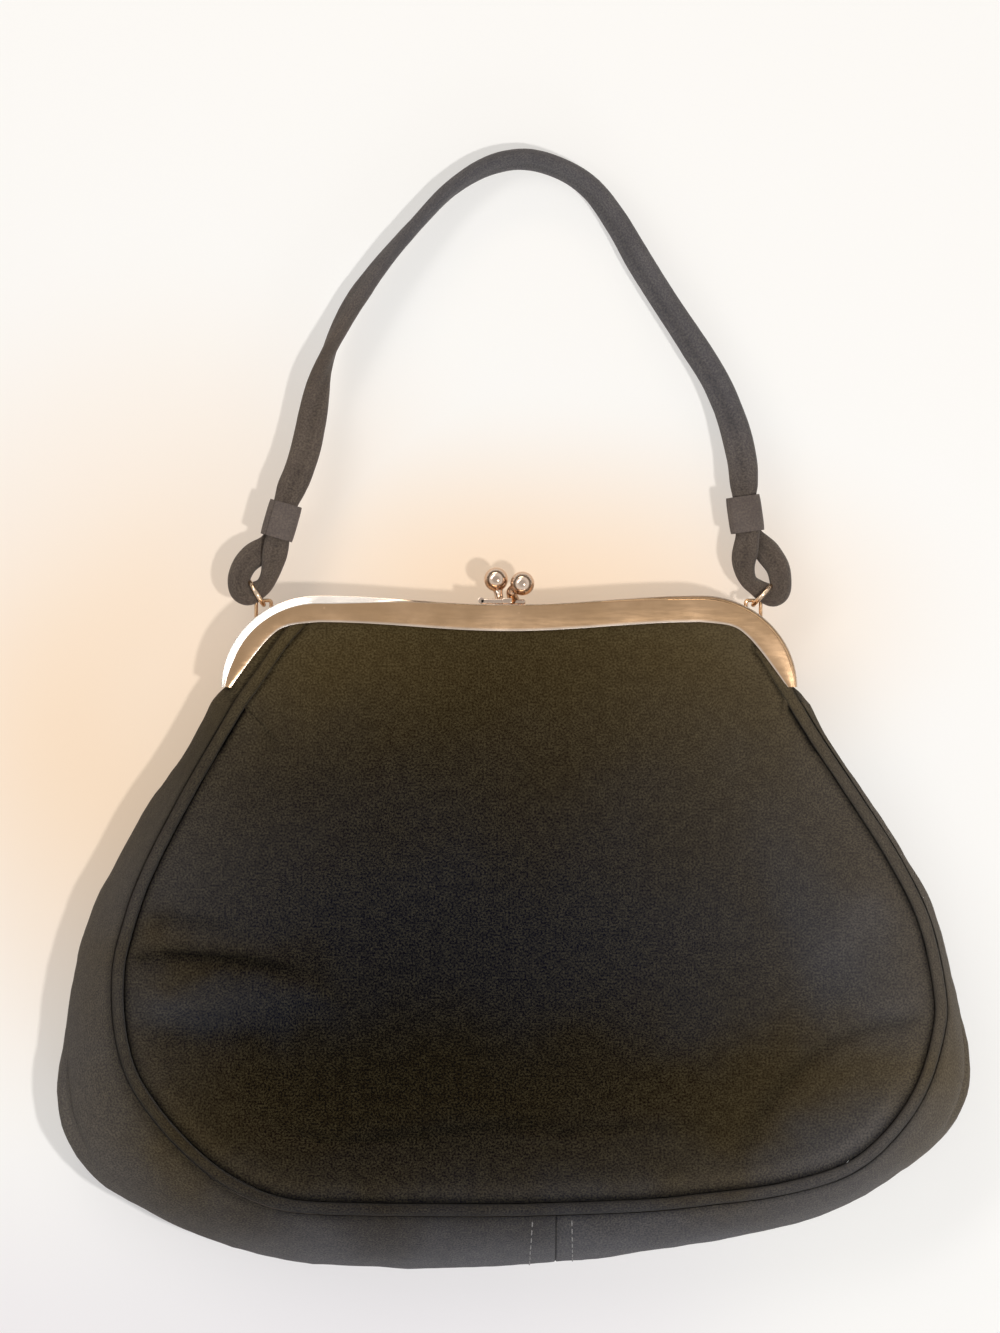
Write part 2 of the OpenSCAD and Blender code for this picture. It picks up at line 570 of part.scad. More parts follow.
// The back panel's rings, between the flat and the edge: their places and the share of the edge's
// height that is left there, under the seams and under the arch
seam_ring_shares = [1, 0.66, 0.33, 0];
arch_ring_shares = [1, 0.67, 0.34, 0];
seam_drop_shares = [1, 0.45, 0.1, 0];
arch_drop_shares = [1, 1, 0.42, 0];
back_rings = len(seam_ring_shares) - 1;
function back_share(e, k) =
  blend(blend(flat_seam_share, flat_arch_share, e[3]), 1, blend(seam_ring_shares[k], arch_ring_shares[k], e[3]));
function back_drop(e, k) = blend(seam_drop_shares[k], arch_drop_shares[k], e[3]);
function back_ring(edge, k, off) = [for (e = edge) let (r = back_share(e, k))
  [centre[0] + (e[0] - centre[0]) * r, centre[1] + (e[1] - centre[1]) * r,
    (e[2] - cloth_t / 2) * back_drop(e, k) + off]];

// A shell between two stacks of rings, which are joined at their outer edges and closed by flat middles
module shell(upper, lower) {
  n = len(upper[0]);
  m = len(upper);
  base = m * n + 1;
  sides = [for (r = [0 : m - 2], k = [0 : n - 1]) let (a = r * n + k, b = r * n + (k + 1) % n)
    each [[b, a, b + n], [a, a + n, b + n]]];
  middle = [for (k = [0 : n - 1]) [(m - 1) * n + (k + 1) % n, (m - 1) * n + k, m * n]];
  top = concat(sides, middle);
  bottom = [for (f = turned(top)) [for (k = f) k + base]];
  edge = [for (k = [0 : n - 1]) let (j = (k + 1) % n) each [[k, j, base + j], [k, base + j, base + k]]];
  polyhedron(
    points = concat([for (r = upper) each r], [[centre[0], centre[1], upper[m - 1][0][2]]],
      [for (r = lower) each r], [[centre[0], centre[1], lower[m - 1][0][2]]]),
    faces = concat(top, bottom, edge));
}

front_edge = panel_edge(front_seam, front_out, bead_reach, arch_inset, 1);
back_edge = panel_edge(back_seam, back_out, bead_reach, arch_inset, -1);
lining_top = cloth_t + lining_gap;
lining_inset = arch_inset / 2;
front_lining_edge = panel_edge(front_seam, front_out, seam_gap / 2, lining_inset, 1);
back_lining_edge = panel_edge(back_seam, back_out, seam_gap / 2, lining_inset, -1);

module front_panel() {
  color(cloth) shell([for (r = front_rings) front_ring(front_edge, r, 0)],
    [for (r = front_rings) front_ring(front_edge, r, cloth_t)]);
}

module back_panel() {
  color(cloth) shell([for (k = [0 : back_rings]) back_ring(back_edge, k, cloth_t)],
    [for (k = [0 : back_rings]) back_ring(back_edge, k, 0)]);
}

// The lining's own edge, level with the panel's and reaching further out
function edge_ring(edge, side, off) = [for (e = edge) [e[0], e[1], e[2] + side * (cloth_t / 2 - off)]];
function lining_stack_front(off) =
  concat([edge_ring(front_lining_edge, 1, off)], [for (r = front_rings) front_ring(front_edge, r, off)]);
function lining_stack_back(off) =
  concat([edge_ring(back_lining_edge, -1, off)], [for (k = [0 : back_rings]) back_ring(back_edge, k, off)]);

module lining_front() {
  color(satin) shell(lining_stack_front(lining_top), lining_stack_front(lining_top + lining_t));
}

module lining_back() {
  color(satin) shell(lining_stack_back(lining_top + lining_t), lining_stack_back(lining_top));
}

// One side of the gusset's section at a station: from the front seam over the bulge to the back
// seam, set in by a depth, and starting a distance beside each seam's line
function gusset_side(i, depth, beside, angles) =
  let (f = front_seam[i], n = front_out[i], b = back_seam[i] + back_out[i] * beside,
    zf = front_seam_height(f[1]) + cloth_t / 2 - depth,
    zb = back_seam_height(f[1]) - cloth_t / 2 + depth,
    zo = bulge_height(f[1]), peak = bag_outline[i] + n * pushes[i] - outline_out[i] * depth, foot = f + n * beside)
  [for (a = angles) let (p = blend(a >= 0 ? foot : b, peak, cos(a)))
    [p[0], p[1], a >= 0 ? blend(zo, zf, sin(a)) : blend(zo, zb, -sin(a))]];
function gusset_ring(i, depth, t, beside, angles) =
  let (o = gusset_side(i, depth, beside, angles), n = gusset_side(i, depth + t, beside, angles))
  concat(n, [for (k = [len(o) - 1 : -1 : 0]) o[k]]);

join_station = round(seam_steps * gusset_join_share);

module gusset(first, last) {
  color(cloth) strip([for (i = [first : last]) gusset_ring(i, 0, cloth_t, bead_reach, gusset_angles)]);
}

module lining_gusset() {
  color(satin) strip([for (i = [0 : seam_steps])
    gusset_ring(i, lining_top, lining_t, seam_gap / 2, lining_angles)]);
}

// Bead of piping, flat against the lining and round outside
piping_shares = [[-1, -0.3], [-1, 0.3], [-0.62, 0.8], [0, 1], [0.62, 0.8], [1, 0.3], [1, -0.3]];

module piping(seam, out, side) {
  rings = [for (i = [0 : seam_steps])
    let (z = side > 0 ? front_seam_height(front_seam[i][1]) : back_seam_height(front_seam[i][1]))
    [for (s = piping_shares)
      let (p = seam[i] + out[i] * s[0] * piping_w / 2)
      [p[0], p[1], z + side * (s[1] < 0 ? -cloth_t / 2 : s[1] * piping_h)]]];
  color(cloth_edge)
    sweep(rings, fan(len(piping_shares)), side > 0);
}

frame_front();
frame_back();
hinge_rivet(-1);  // hinge_rivet_left
hinge_rivet(1);  // hinge_rivet_right
clasp_front();
clasp_back();
staple(-1);  // staple_left
staple(1);  // staple_right
handle_ring(-1);  // handle_ring_left
handle_ring(1);  // handle_ring_right
handle_strap();
sleeve(left_sleeve_share, left_sleeve_turn);  // handle_sleeve_left
sleeve(right_sleeve_share, right_sleeve_turn);  // handle_sleeve_right
front_panel();
back_panel();
gusset(0, join_station);  // gusset_left
gusset(join_station, seam_steps);  // gusset_right
piping(front_seam, front_out, 1);  // piping_front
piping(back_seam, back_out, -1);  // piping_back
lining_front();
lining_back();
lining_gusset();
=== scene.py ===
import math

import bmesh
import bpy
import numpy as np
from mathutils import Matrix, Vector, noise


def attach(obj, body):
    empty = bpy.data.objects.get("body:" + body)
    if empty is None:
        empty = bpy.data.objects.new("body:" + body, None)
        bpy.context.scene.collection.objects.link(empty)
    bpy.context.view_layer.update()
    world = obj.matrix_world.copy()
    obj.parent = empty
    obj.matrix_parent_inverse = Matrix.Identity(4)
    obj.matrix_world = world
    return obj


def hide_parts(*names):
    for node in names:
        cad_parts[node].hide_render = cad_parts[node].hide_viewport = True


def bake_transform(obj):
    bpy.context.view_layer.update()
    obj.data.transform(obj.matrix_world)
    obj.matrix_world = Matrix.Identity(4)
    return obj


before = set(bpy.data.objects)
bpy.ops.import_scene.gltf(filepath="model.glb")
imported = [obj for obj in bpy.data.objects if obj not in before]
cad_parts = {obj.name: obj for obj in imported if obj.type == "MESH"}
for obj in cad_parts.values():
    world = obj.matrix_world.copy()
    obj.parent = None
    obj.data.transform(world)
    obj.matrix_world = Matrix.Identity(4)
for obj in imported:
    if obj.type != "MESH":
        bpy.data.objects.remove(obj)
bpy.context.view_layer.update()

# Table, lamps and camera
# The bag lies on its back on a pale table and is seen from straight above. The daylight comes from the
# lower right, with warm room light from beyond the handle and a broad soft light on the left.
MM = 0.001
VIEW_CENTRE = (-4.0, 13.6)
VIEW_HEIGHT = 444.3
CAMERA_RISE = 2600.0
SENSOR_LONG_SIDE = 36.0
FRAME_MID_Z = 18.0
TABLE_HALF = 9000.0
TABLE_STEPS = 6
TABLE_Z = -0.25
TABLE_GLOW = 0.45
TABLE_TINT = (0.985, 0.972, 0.948)
PALE_TINT = (0.975, 0.955, 0.93)
# Painted shade on the table below the bag: its cool grey tint
COOL_SHADOW_TINT = (0.89, 0.865, 0.88)
# Painted warm shadows on the table, beside the bag's left side and above the frame: their tint, then each
# one's middle and half sizes in metres
WARM_SHADOW_TINT = (0.99, 0.775, 0.575)
WARM_SHADOW_SPOTS = (((-0.122, -0.003), (0.165, 0.165)), ((0.0, 0.030), (0.175, 0.080)))
ROOM_DARK, ROOM_WINDOWS, ROOM_CEILING = (0.20, 0.17, 0.14), (0.92, 0.91, 0.90), (0.55, 0.54, 0.53)
AIR_LEVEL = 0.27
AIR_TINT = (1.0, 0.975, 0.95, 1.0)
# Each lamp's direction, distance, two sides, level and tint
LAMPS = {
    "daylight": ((0.34, -0.17, 1.0), 1700.0, (85.0, 85.0), 0.50, (1.0, 0.99, 0.975)),
    "room_light": ((-0.35, 1.75, 0.75), 1500.0, (900.0, 200.0), 0.15, (1.0, 0.82, 0.62)),
    "side_light": ((-1.0, 0.93, 1.42), 1500.0, (1400.0, 330.0), 0.25, (1.0, 0.985, 0.96)),
    "low_light": ((0.45, -1.7, 0.62), 1600.0, (500.0, 500.0), 0.15, (0.78, 0.87, 1.0))}
MIX_COLOURS = (6, 7)
MIX_RESULT = 2

scene = bpy.context.scene
scene.view_settings.view_transform = "Standard"
camera_data = bpy.data.cameras.new("camera")
camera_data.sensor_width = SENSOR_LONG_SIDE
camera_data.lens = SENSOR_LONG_SIDE * CAMERA_RISE / VIEW_HEIGHT
camera_data.clip_end = 100.0
camera = bpy.data.objects.new("camera", camera_data)
camera.location = Vector((*VIEW_CENTRE, FRAME_MID_Z + CAMERA_RISE)) * MM
scene.collection.objects.link(camera)
scene.camera = camera


def feed(tree, node, inputs):
    """A node's sockets set to values or linked to other sockets."""
    for key, value in inputs.items():
        if isinstance(value, bpy.types.NodeSocket):
            tree.links.new(value, node.inputs[key])
        else:
            node.inputs[key].default_value = value
    return node


def add(tree, kind, inputs, **settings):
    """A node with its settings and its sockets."""
    node = tree.nodes.new("ShaderNode" + kind)
    for key, value in settings.items():
        setattr(node, key, value)
    return feed(tree, node, inputs)


def maths(tree, operation, *values):
    """The result of an operation on numbers."""
    return add(tree, "Math", dict(enumerate(values)), operation=operation).outputs["Value"]


def vectors(tree, operation, *values):
    """The result of an operation on vectors."""
    node = add(tree, "VectorMath", dict(enumerate(values)), operation=operation)
    return node.outputs["Value" if operation == "LENGTH" else "Vector"]


def mixed(tree, share, *colours):
    """The colour between two colours at a share."""
    ends = [c if isinstance(c, bpy.types.NodeSocket) else (*c, 1.0) for c in colours]
    inputs = {"Factor": share, **dict(zip(MIX_COLOURS, ends))}
    return add(tree, "Mix", inputs, data_type="RGBA").outputs[MIX_RESULT]


def ramp(tree, value, low, high, start=0.0, end=1.0):
    """A value brought smoothly from one range to another."""
    ends = {"Value": value, "From Min": low, "From Max": high, "To Min": start, "To Max": end}
    return add(tree, "MapRange", ends, interpolation_type="SMOOTHSTEP").outputs["Result"]


def noisy(tree, where, scale, detail, **more):
    """Smooth chance values over a place."""
    inputs = {"Vector": where, "Scale": scale, "Detail": detail, **more}
    return add(tree, "TexNoise", inputs).outputs["Fac"]


def mapped(tree, where, **change):
    """A place scaled or turned."""
    return add(tree, "Mapping", {"Vector": where, **change}).outputs["Vector"]


def new_finish(name):
    """A new material, its node tree and its shader."""
    finish = bpy.data.materials.new(name)
    finish.use_nodes = True
    return finish, finish.node_tree, finish.node_tree.nodes["Principled BSDF"]


def surface(tree, shader, inputs, *bumps):
    """The shader's sockets, and bumps one on another, each with its height, strength and depth."""
    normal = {}
    for height, strength, depth in bumps:
        bump = add(tree, "Bump", {"Height": height, "Strength": strength, "Distance": depth, **normal})
        normal = {"Normal": bump.outputs["Normal"]}
    feed(tree, shader, {**inputs, **normal})


def quads(rings, n, looped=False, closed=True):
    """The faces between rings of n points each."""
    return [(r * n + k, r * n + (k + 1) % n, (r + 1) % rings * n + (k + 1) % n, (r + 1) % rings * n + k)
            for r in range(rings if looped else rings - 1) for k in range(n if closed else n - 1)]


def make_piece(name, points, faces, finish, crease=40.0):
    """A mesh piece from points in millimetres, smooth but for edges sharper than the crease angle."""
    mesh = bpy.data.meshes.new(name)
    mesh.from_pydata((np.asarray(points, float) * MM).tolist(), [], faces)
    tool = bmesh.new()
    tool.from_mesh(mesh)
    bmesh.ops.recalc_face_normals(tool, faces=tool.faces)
    tool.to_mesh(mesh)
    tool.free()
    mesh.shade_smooth()
    mesh.set_sharp_from_angle(angle=math.radians(crease))
    mesh.materials.append(finish)
    made = bpy.data.objects.new(name, mesh)
    scene.collection.objects.link(made)
    return made


table_finish, tree, shader = new_finish("table_top")
where = add(tree, "TexCoord", {}).outputs["Object"]
# Painted warm shadows: two soft spots of the warm tint on the table
spots = []
for place, half in WARM_SHADOW_SPOTS:
    shifted = vectors(tree, "SUBTRACT", where, (*place, 0.0))
    spots.append(vectors(tree, "LENGTH", vectors(tree, "MULTIPLY", shifted, (1 / half[0], 1 / half[1], 0.0))))
sides = add(tree, "SeparateXYZ", {"Vector": where}).outputs
# Painted shade: the cool grey tint on the table below the bag
cool_shadow = maths(tree, "MULTIPLY", ramp(tree, sides["Y"], -0.13, -0.21), ramp(tree, sides["X"], 0.12, 0.02))
tint = mixed(tree, ramp(tree, maths(tree, "MINIMUM", *spots), 0.1, 1.0), WARM_SHADOW_TINT, TABLE_TINT)
tint = mixed(tree, cool_shadow, tint, COOL_SHADOW_TINT)
tint = mixed(tree, ramp(tree, noisy(tree, where, 5.0, 2.0), 0.35, 0.75, 0.0, 0.3), tint, PALE_TINT)
grain = noisy(tree, where, 900.0, 3.0)
surface(tree, shader, {"Base Color": tint, "Roughness": 0.75}, (grain, 0.04, 0.0002))
# The camera sees the table partly by its own pale colour, so that the bag's shadows stay light on it
glow = add(tree, "Emission", {"Color": tint, "Strength": 1.0}).outputs["Emission"]
seen = maths(tree, "MULTIPLY", add(tree, "LightPath", {}).outputs["Is Camera Ray"], TABLE_GLOW)
shown = add(tree, "MixShader", {0: seen, 1: shader.outputs["BSDF"], 2: glow}).outputs["Shader"]
tree.links.new(shown, tree.nodes["Material Output"].inputs["Surface"])

ticks = np.linspace(-TABLE_HALF, TABLE_HALF, TABLE_STEPS + 1)
table_points = [(x, y, TABLE_Z) for y in ticks for x in ticks]
table_faces = quads(TABLE_STEPS + 1, TABLE_STEPS + 1, closed=False)
make_piece("table_top", table_points, table_faces, table_finish)

for name, (stands, away, size, level, colour) in LAMPS.items():
    lamp_data = bpy.data.lights.new(name, "AREA")
    lamp_data.shape = "RECTANGLE"
    lamp_data.size, lamp_data.size_y = size[0] * MM, size[1] * MM
    lamp_data.energy = level * math.pi ** 2 * (away * MM) ** 2
    lamp_data.color = colour
    lamp = bpy.data.objects.new(name, lamp_data)
    direction = Vector(stands).normalized()
    lamp.location = direction * away * MM
    lamp.rotation_euler = direction.to_track_quat("Z", "Y").to_euler()
    scene.collection.objects.link(lamp)

air = bpy.data.worlds.new("air")
air.use_nodes = True
scene.world = air
tree = air.node_tree
tree.nodes.clear()
rays = add(tree, "LightPath", {}).outputs
up = add(tree, "SeparateXYZ", {"Vector": add(tree, "TexCoord", {}).outputs["Generated"]}).outputs["Z"]
room = mixed(tree, ramp(tree, up, 0.22, 0.50), ROOM_DARK, ROOM_WINDOWS)
room = mixed(tree, ramp(tree, up, 0.62, 0.97), room, ROOM_CEILING)
mirror = maths(tree, "MAXIMUM", rays["Is Glossy Ray"], rays["Is Transmission Ray"])
seen = maths(tree, "MAXIMUM", mirror, rays["Is Camera Ray"])
lit = add(tree, "Background", {"Color": AIR_TINT, "Strength": AIR_LEVEL}).outputs["Background"]
shown = {"Color": mixed(tree, mirror, (1.0, 1.0, 1.0), room), "Strength": 1.0}
shown = add(tree, "Background", shown).outputs["Background"]
both = add(tree, "MixShader", {0: seen, 1: lit, 2: shown}).outputs["Shader"]
tree.links.new(both, add(tree, "OutputWorld", {}).inputs["Surface"])

# The two frame halves
# Each is a strip of gilt brass, rolled to a shallow channel with a rounded outer edge and a turned
# inner lip, and bent to a flat-topped arch whose two legs end at the hinges.
FRAME_X = -0.939
FRAME_W = 191.6
FRAME_H = 30.5
SHOULDER_W = 32.3
BAR_HALF = FRAME_W / 2 - SHOULDER_W
BAR_DIP = 3.0
FACE_H = 9.0
LEG_W = 3.5
LEG_Y = 6.75
HALF_T = 7.5
PLATE_T = 1.0
RIM_T = 1.3
FLANGE_T = 0.9
FLANGE_SHARE = 0.86
SHUT_GAP = 0.1
LEG_INSIDE = [(0.66, 0.335), (0.48, 0.555), (0.31, 0.665)]
SHOULDER_STEPS = 88
BAR_STEPS = 96
ROUND_STEPS = 8
BEVEL_LEAST, BEVEL_MOST, BEVEL_SHARE = 0.8, 2.8, 0.38
EDGE_R = 0.4
LIP_R = 0.4
FACE_SWELL = 0.14
BACK_RELIEF = 0.25
# Where the bevel widens, and where the left shoulder's bevel lies flatter to catch the side lamp and carries
# a painted highlight: start and span, as shares of half the bar
BEND_START, BEND_SPAN = 0.42, 0.55
SHINE_START, SHINE_SPAN = 0.25, 0.5
PLAIN_TILT, SHINE_TILT = 0.8, 0.38
# Painted highlight on the frame: its share on the outer edge, on the left shoulder and on the lip
EDGE_HIGHLIGHT, LEFT_HIGHLIGHT, LIP_HIGHLIGHT = 0.5, 0.75, 0.45
GILT_PALE, GILT_DEEP = (0.675, 0.440, 0.258), (0.59, 0.374, 0.206)
# The painted highlight's near-white tint
HIGHLIGHT_TINT = (0.93, 0.90, 0.86)


def smooth(t):
    """0 up to t = 0, 1 from t = 1, and an even curve in between."""
    t = np.clip(t, 0.0, 1.0)
    return t * t * (3 - 2 * t)


def between(a, b, t):
    """The value at a share t of the way from a to b."""
    return a + (b - a) * t


def bell(x, width):
    """1 where x is 0, and almost nothing from two widths away."""
    return np.exp(-(x / width) ** 2)


def unit(rows):
    """Rows of numbers as directions, each of length 1."""
    return rows / np.linalg.norm(rows, axis=-1, keepdims=True)


def through(points, steps):
    """A smooth curve through points, with that many steps from each to the next."""
    p = np.asarray(points, float)
    padded = np.vstack([p[:1], p, p[-1:]])
    t = (np.arange(steps) / steps)[:, None]
    runs = []
    for a, b, c, d in zip(padded, padded[1:], padded[2:], padded[3:]):
        runs.append((2 * b + (c - a) * t + (2 * a - 5 * b + 4 * c - d) * t ** 2
                     + (3 * b - a - 3 * c + d) * t ** 3) / 2)
    return np.vstack(runs + [p[-1:]])


def lengths(line):
    """The length along a line to each of its points."""
    return np.concatenate([[0.0], np.cumsum(np.linalg.norm(np.diff(line, axis=0), axis=1))])


def looked_up(at, run, rows, **options):
    """The rows of a table at places along its run."""
    return np.stack([np.interp(at, run, column, **options) for column in np.transpose(rows)], axis=1)


def evened(line, steps):
    """The same line with its points at even distances."""
    run = lengths(line)
    return looked_up(np.linspace(0.0, run[-1], steps + 1), run, line)


def bar_y(x):
    """Height of the frame's top edge over its legs' ends, with the dip in its middle."""
    return FRAME_H - BAR_DIP * (1 + np.cos(np.pi * np.minimum(1.0, np.abs(x) / BAR_HALF))) / 2


def mirrored(line):
    """A line's mirror image, run the other way."""
    return line[::-1] * [-1.0, 1.0]


turn = np.radians(90.0 * np.arange(SHOULDER_STEPS) / SHOULDER_STEPS)
left_outer = np.stack([-BAR_HALF - SHOULDER_W * np.cos(turn), FRAME_H * np.sin(turn)], axis=1)
bar_x = BAR_HALF * np.linspace(-1.0, 1.0, BAR_STEPS + 1)
bar_outer = np.stack([bar_x, bar_y(bar_x)], axis=1)
frame_outer = np.vstack([left_outer, bar_outer, mirrored(left_outer)])
leg_inside = [(-BAR_HALF - SHOULDER_W * a, FRAME_H * b) for a, b in LEG_INSIDE]
leg_inside = [(-FRAME_W / 2 + LEG_W, 0.0)] + leg_inside + [(-BAR_HALF, FRAME_H - FACE_H)]
left_inner = evened(through(leg_inside, 12), SHOULDER_STEPS)[:-1]
frame_inner = np.vstack([left_inner, bar_outer - [0.0, FACE_H], mirrored(left_inner)])


def half_section(width, bend, tilt):
    """Section of a half from the parting plane outwards: bevelled edge, face, turned lip and flange."""
    bevel_w = between(BEVEL_LEAST, min(BEVEL_MOST, width * BEVEL_SHARE), bend)
    bevel_h = bevel_w * tilt
    slope = math.atan2(bevel_h, bevel_w)
    edge = [(EDGE_R * (1 - math.cos(a)), HALF_T - bevel_h - EDGE_R * (1 - math.sin(a)))
            for a in np.linspace(0.0, np.pi / 2 - slope, 5)]
    edge += [(between(edge[-1][0], bevel_w, t), between(edge[-1][1], HALF_T, t)) for t in (0.35, 0.7)]
    edge += [(bevel_w - 0.22, HALF_T - 0.12 * slope), (bevel_w + 0.12, HALF_T)]
    edge += [(bevel_w + 0.3, HALF_T + 0.01)]
    face = [(between(bevel_w, width - LIP_R, t), HALF_T + FACE_SWELL * math.sin(math.pi * t))
            for t in (0.3, 0.5, 0.7, 0.9)]
    lip = [(width - LIP_R * (1 - math.sin(a)), HALF_T - 0.02 - LIP_R * (1 - math.cos(a)))
           for a in np.linspace(0.0, np.pi / 2, ROUND_STEPS + 1)]
    inside, parting, shelf = HALF_T - PLATE_T, SHUT_GAP / 2, SHUT_GAP / 2 + FLANGE_T
    flange = max(RIM_T + 0.5, width * FLANGE_SHARE)
    back = [(width, inside), (RIM_T, inside), (RIM_T, shelf), (flange, shelf), (flange, parting)]
    return np.array([(0.0, parting)] + edge + face + lip + back)


def loft(name, rings, finish, looped=False, crease=60.0):
    """A piece that passes through rings of points, closed at its ends or joined end to end."""
    m, n = np.shape(rings)[:2]
    ends = [] if looped else [tuple(range(n))[::-1], tuple(range((m - 1) * n, m * n))]
    return make_piece(name, np.reshape(rings, (-1, 3)), quads(m, n, looped) + ends, finish, crease)


def gilt_finish(name, pale, deep, rough, grain_scale, grain_depth):
    """Gilded brass with fine drawn lines along it, cloudy tone, small rubbed spots and a painted pale
    highlight where the mesh marks one.
    """
    finish, tree, shader = new_finish(name)
    where = add(tree, "TexCoord", {}).outputs["Object"]
    drawn = noisy(tree, mapped(tree, where, Scale=grain_scale), 1.0, 4.0, Roughness=0.6)
    cloud = noisy(tree, where, 55.0, 4.0, Roughness=0.6)
    spots = noisy(tree, where, 620.0, 2.0)
    tone = mixed(tree, ramp(tree, cloud, 0.3, 0.7), deep, pale)
    tone = mixed(tree, ramp(tree, drawn, 0.35, 0.75, 0.0, 0.35), tone, [c * 0.86 for c in deep])
    tone = mixed(tree, ramp(tree, spots, 0.70, 0.78, 0.0, 0.7), tone, [min(1.0, c * 1.25) for c in pale])
    # Painted highlight: near-white where the mesh's attribute marks it
    tone = mixed(tree, add(tree, "Attribute", {}, attribute_name="wear_and_highlight").outputs["Fac"], tone, HIGHLIGHT_TINT)
    dull = ramp(tree, drawn, 0.25, 0.75, rough * 0.8, rough * 1.25)
    dull = maths(tree, "ADD", dull, ramp(tree, cloud, 0.4, 0.8, 0.0, 0.05))
    surface(tree, shader, {"Base Color": tone, "Metallic": 1.0, "Roughness": dull},
            (drawn, 0.35, grain_depth), (spots, 0.12, grain_depth * 3))
    return finish


def tell(made, node=None, body=None):
    if body:
        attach(made, body)
    if node:
        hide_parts(node)
    return made


gilt = gilt_finish("gilt_brass", GILT_PALE, GILT_DEEP, 0.18, (110.0, 900.0, 900.0), 0.00002)
for name, side, body, node in (("frame_half_front", 1, "front_frame", "frame_front"),
                               ("frame_half_back", -1, "bag", "frame_back")):
    rings, wear_and_highlight = [], []
    for outer, inner in zip(frame_outer, frame_inner):
        bend = float(smooth((abs(outer[0]) - BAR_HALF * BEND_START) / (BAR_HALF * BEND_SPAN)))
        # The left shoulder's share: there the bevel lies flatter to catch the side lamp, and the painted
        # highlight is strongest
        polished = float(smooth((-outer[0] - BAR_HALF * SHINE_START) / (BAR_HALF * SHINE_SPAN)))
        tilt = between(PLAIN_TILT, SHINE_TILT, polished)
        section = half_section(np.linalg.norm(inner - outer), bend * between(0.35, 1.0, polished), tilt)
        relief = BACK_RELIEF * smooth((abs(outer[0]) - BAR_HALF) / 8.0) if side < 0 else 0.0
        place = outer + unit(inner - outer) * np.maximum(section[:, :1], relief) + [FRAME_X, LEG_Y]
        rings.append(np.column_stack([place, FRAME_MID_Z + side * section[:, 1]]))
        # A painted pale highlight along the outer edge, most on the left, and on the lip
        left, lip_at = LEFT_HIGHLIGHT * polished, len(section) - ROUND_STEPS - 6
        wear_and_highlight += [0.0] + [max(EDGE_HIGHLIGHT, left)] * 5 + [left] * 3 + [0.0] * (lip_at - 9) + [LIP_HIGHLIGHT] * 6
        wear_and_highlight += [0.0] * (len(section) - lip_at - 6)
    made = loft(name, rings, gilt, crease=48.0)
    made.data.attributes.new("wear_and_highlight", "FLOAT", "POINT").data.foreach_set("value", wear_and_highlight)
    tell(made, node, body)

# The hinges
# Ears of the same brass run down from the channels, the back half's outside the front half's, and a
# round-headed rivet is closed through each pair.
AXIS_Y = 3.85
EAR_R = 2.5
EAR_T = 1.0
EAR_GAP = 0.2
EAR_RISE = 5.4
EAR_NECK = (1.05, 2.5)
RIVET_D = 1.8
RIVET_HEAD_D = 3.4
RIVET_HEAD_T = 0.7
BACK_EAR_X = FRAME_W / 2 - RIM_T - EAR_GAP - EAR_T
FRONT_EAR_X = BACK_EAR_X - EAR_GAP - EAR_T
WORDS = {-1: "left", 1: "right"}


def ear_reach(angle, side):
    """Distance from the hinge's axis to the ear's edge in one direction."""
    reaches = np.linspace(EAR_R, EAR_RISE + EAR_R, 60)
    y, z = reaches * math.cos(angle), reaches * math.sin(angle) * side
    return reaches[(0.0 <= y) & (y <= EAR_RISE) & (EAR_NECK[0] <= z) & (z <= EAR_NECK[1])].max(initial=EAR_R)


def softened(made, width, segments):
    """The same piece with rounded edges."""
    edges = made.modifiers.new("edges", "BEVEL")
    edges.width, edges.segments, edges.limit_method = width * MM, segments, "ANGLE"
    return made


def frame_ears(name, ear_x, side, hole_d, body):
    """The pair of ears of one half, joined in one piece."""
    points, faces = [], []
    angles = np.linspace(0.0, 2 * np.pi, 64, endpoint=False)
    for s in (-1, 1):
        faces += [tuple(len(points) + i for i in face) for face in quads(4, len(angles), looped=True)]
        for x, inside in ((ear_x, 1), (ear_x, 0), (ear_x + EAR_T, 0), (ear_x + EAR_T, 1)):
            for a in angles:
                r = hole_d / 2 if inside else ear_reach(a, side)
                points.append((FRAME_X + s * x, AXIS_Y + r * math.cos(a), FRAME_MID_Z + r * math.sin(a)))
    tell(softened(make_piece(name, points, faces, gilt), 0.12, 2), body=body)


frame_ears("hinge_ears_front", FRONT_EAR_X, 1, RIVET_D + 0.1, "front_frame")
frame_ears("hinge_ears_back", BACK_EAR_X, -1, RIVET_D, "bag")


def wire(name, points, radii, finish, steps=20, closed=False, start_side=(0.0, 0.0, 1.0)):
    """A wire or turned rod along a line. Its rings turn as little as possible from point to point."""
    p = np.asarray(points, float)
    ahead = unit(np.roll(p, -1, axis=0) - np.roll(p, 1, axis=0) if closed else np.gradient(p, axis=0))
    angles = np.linspace(0.0, 2 * np.pi, steps, endpoint=False)
    side, rings = np.array(start_side, float), []
    for place, radius, a in zip(p, np.broadcast_to(radii, len(p)), ahead):
        side = unit(side - a * side.dot(a))
        circle = np.outer(np.cos(angles), side) + np.outer(np.sin(angles), np.cross(a, side))
        rings.append(place + radius * circle)
    return loft(name, rings, finish, closed, crease=40.0)


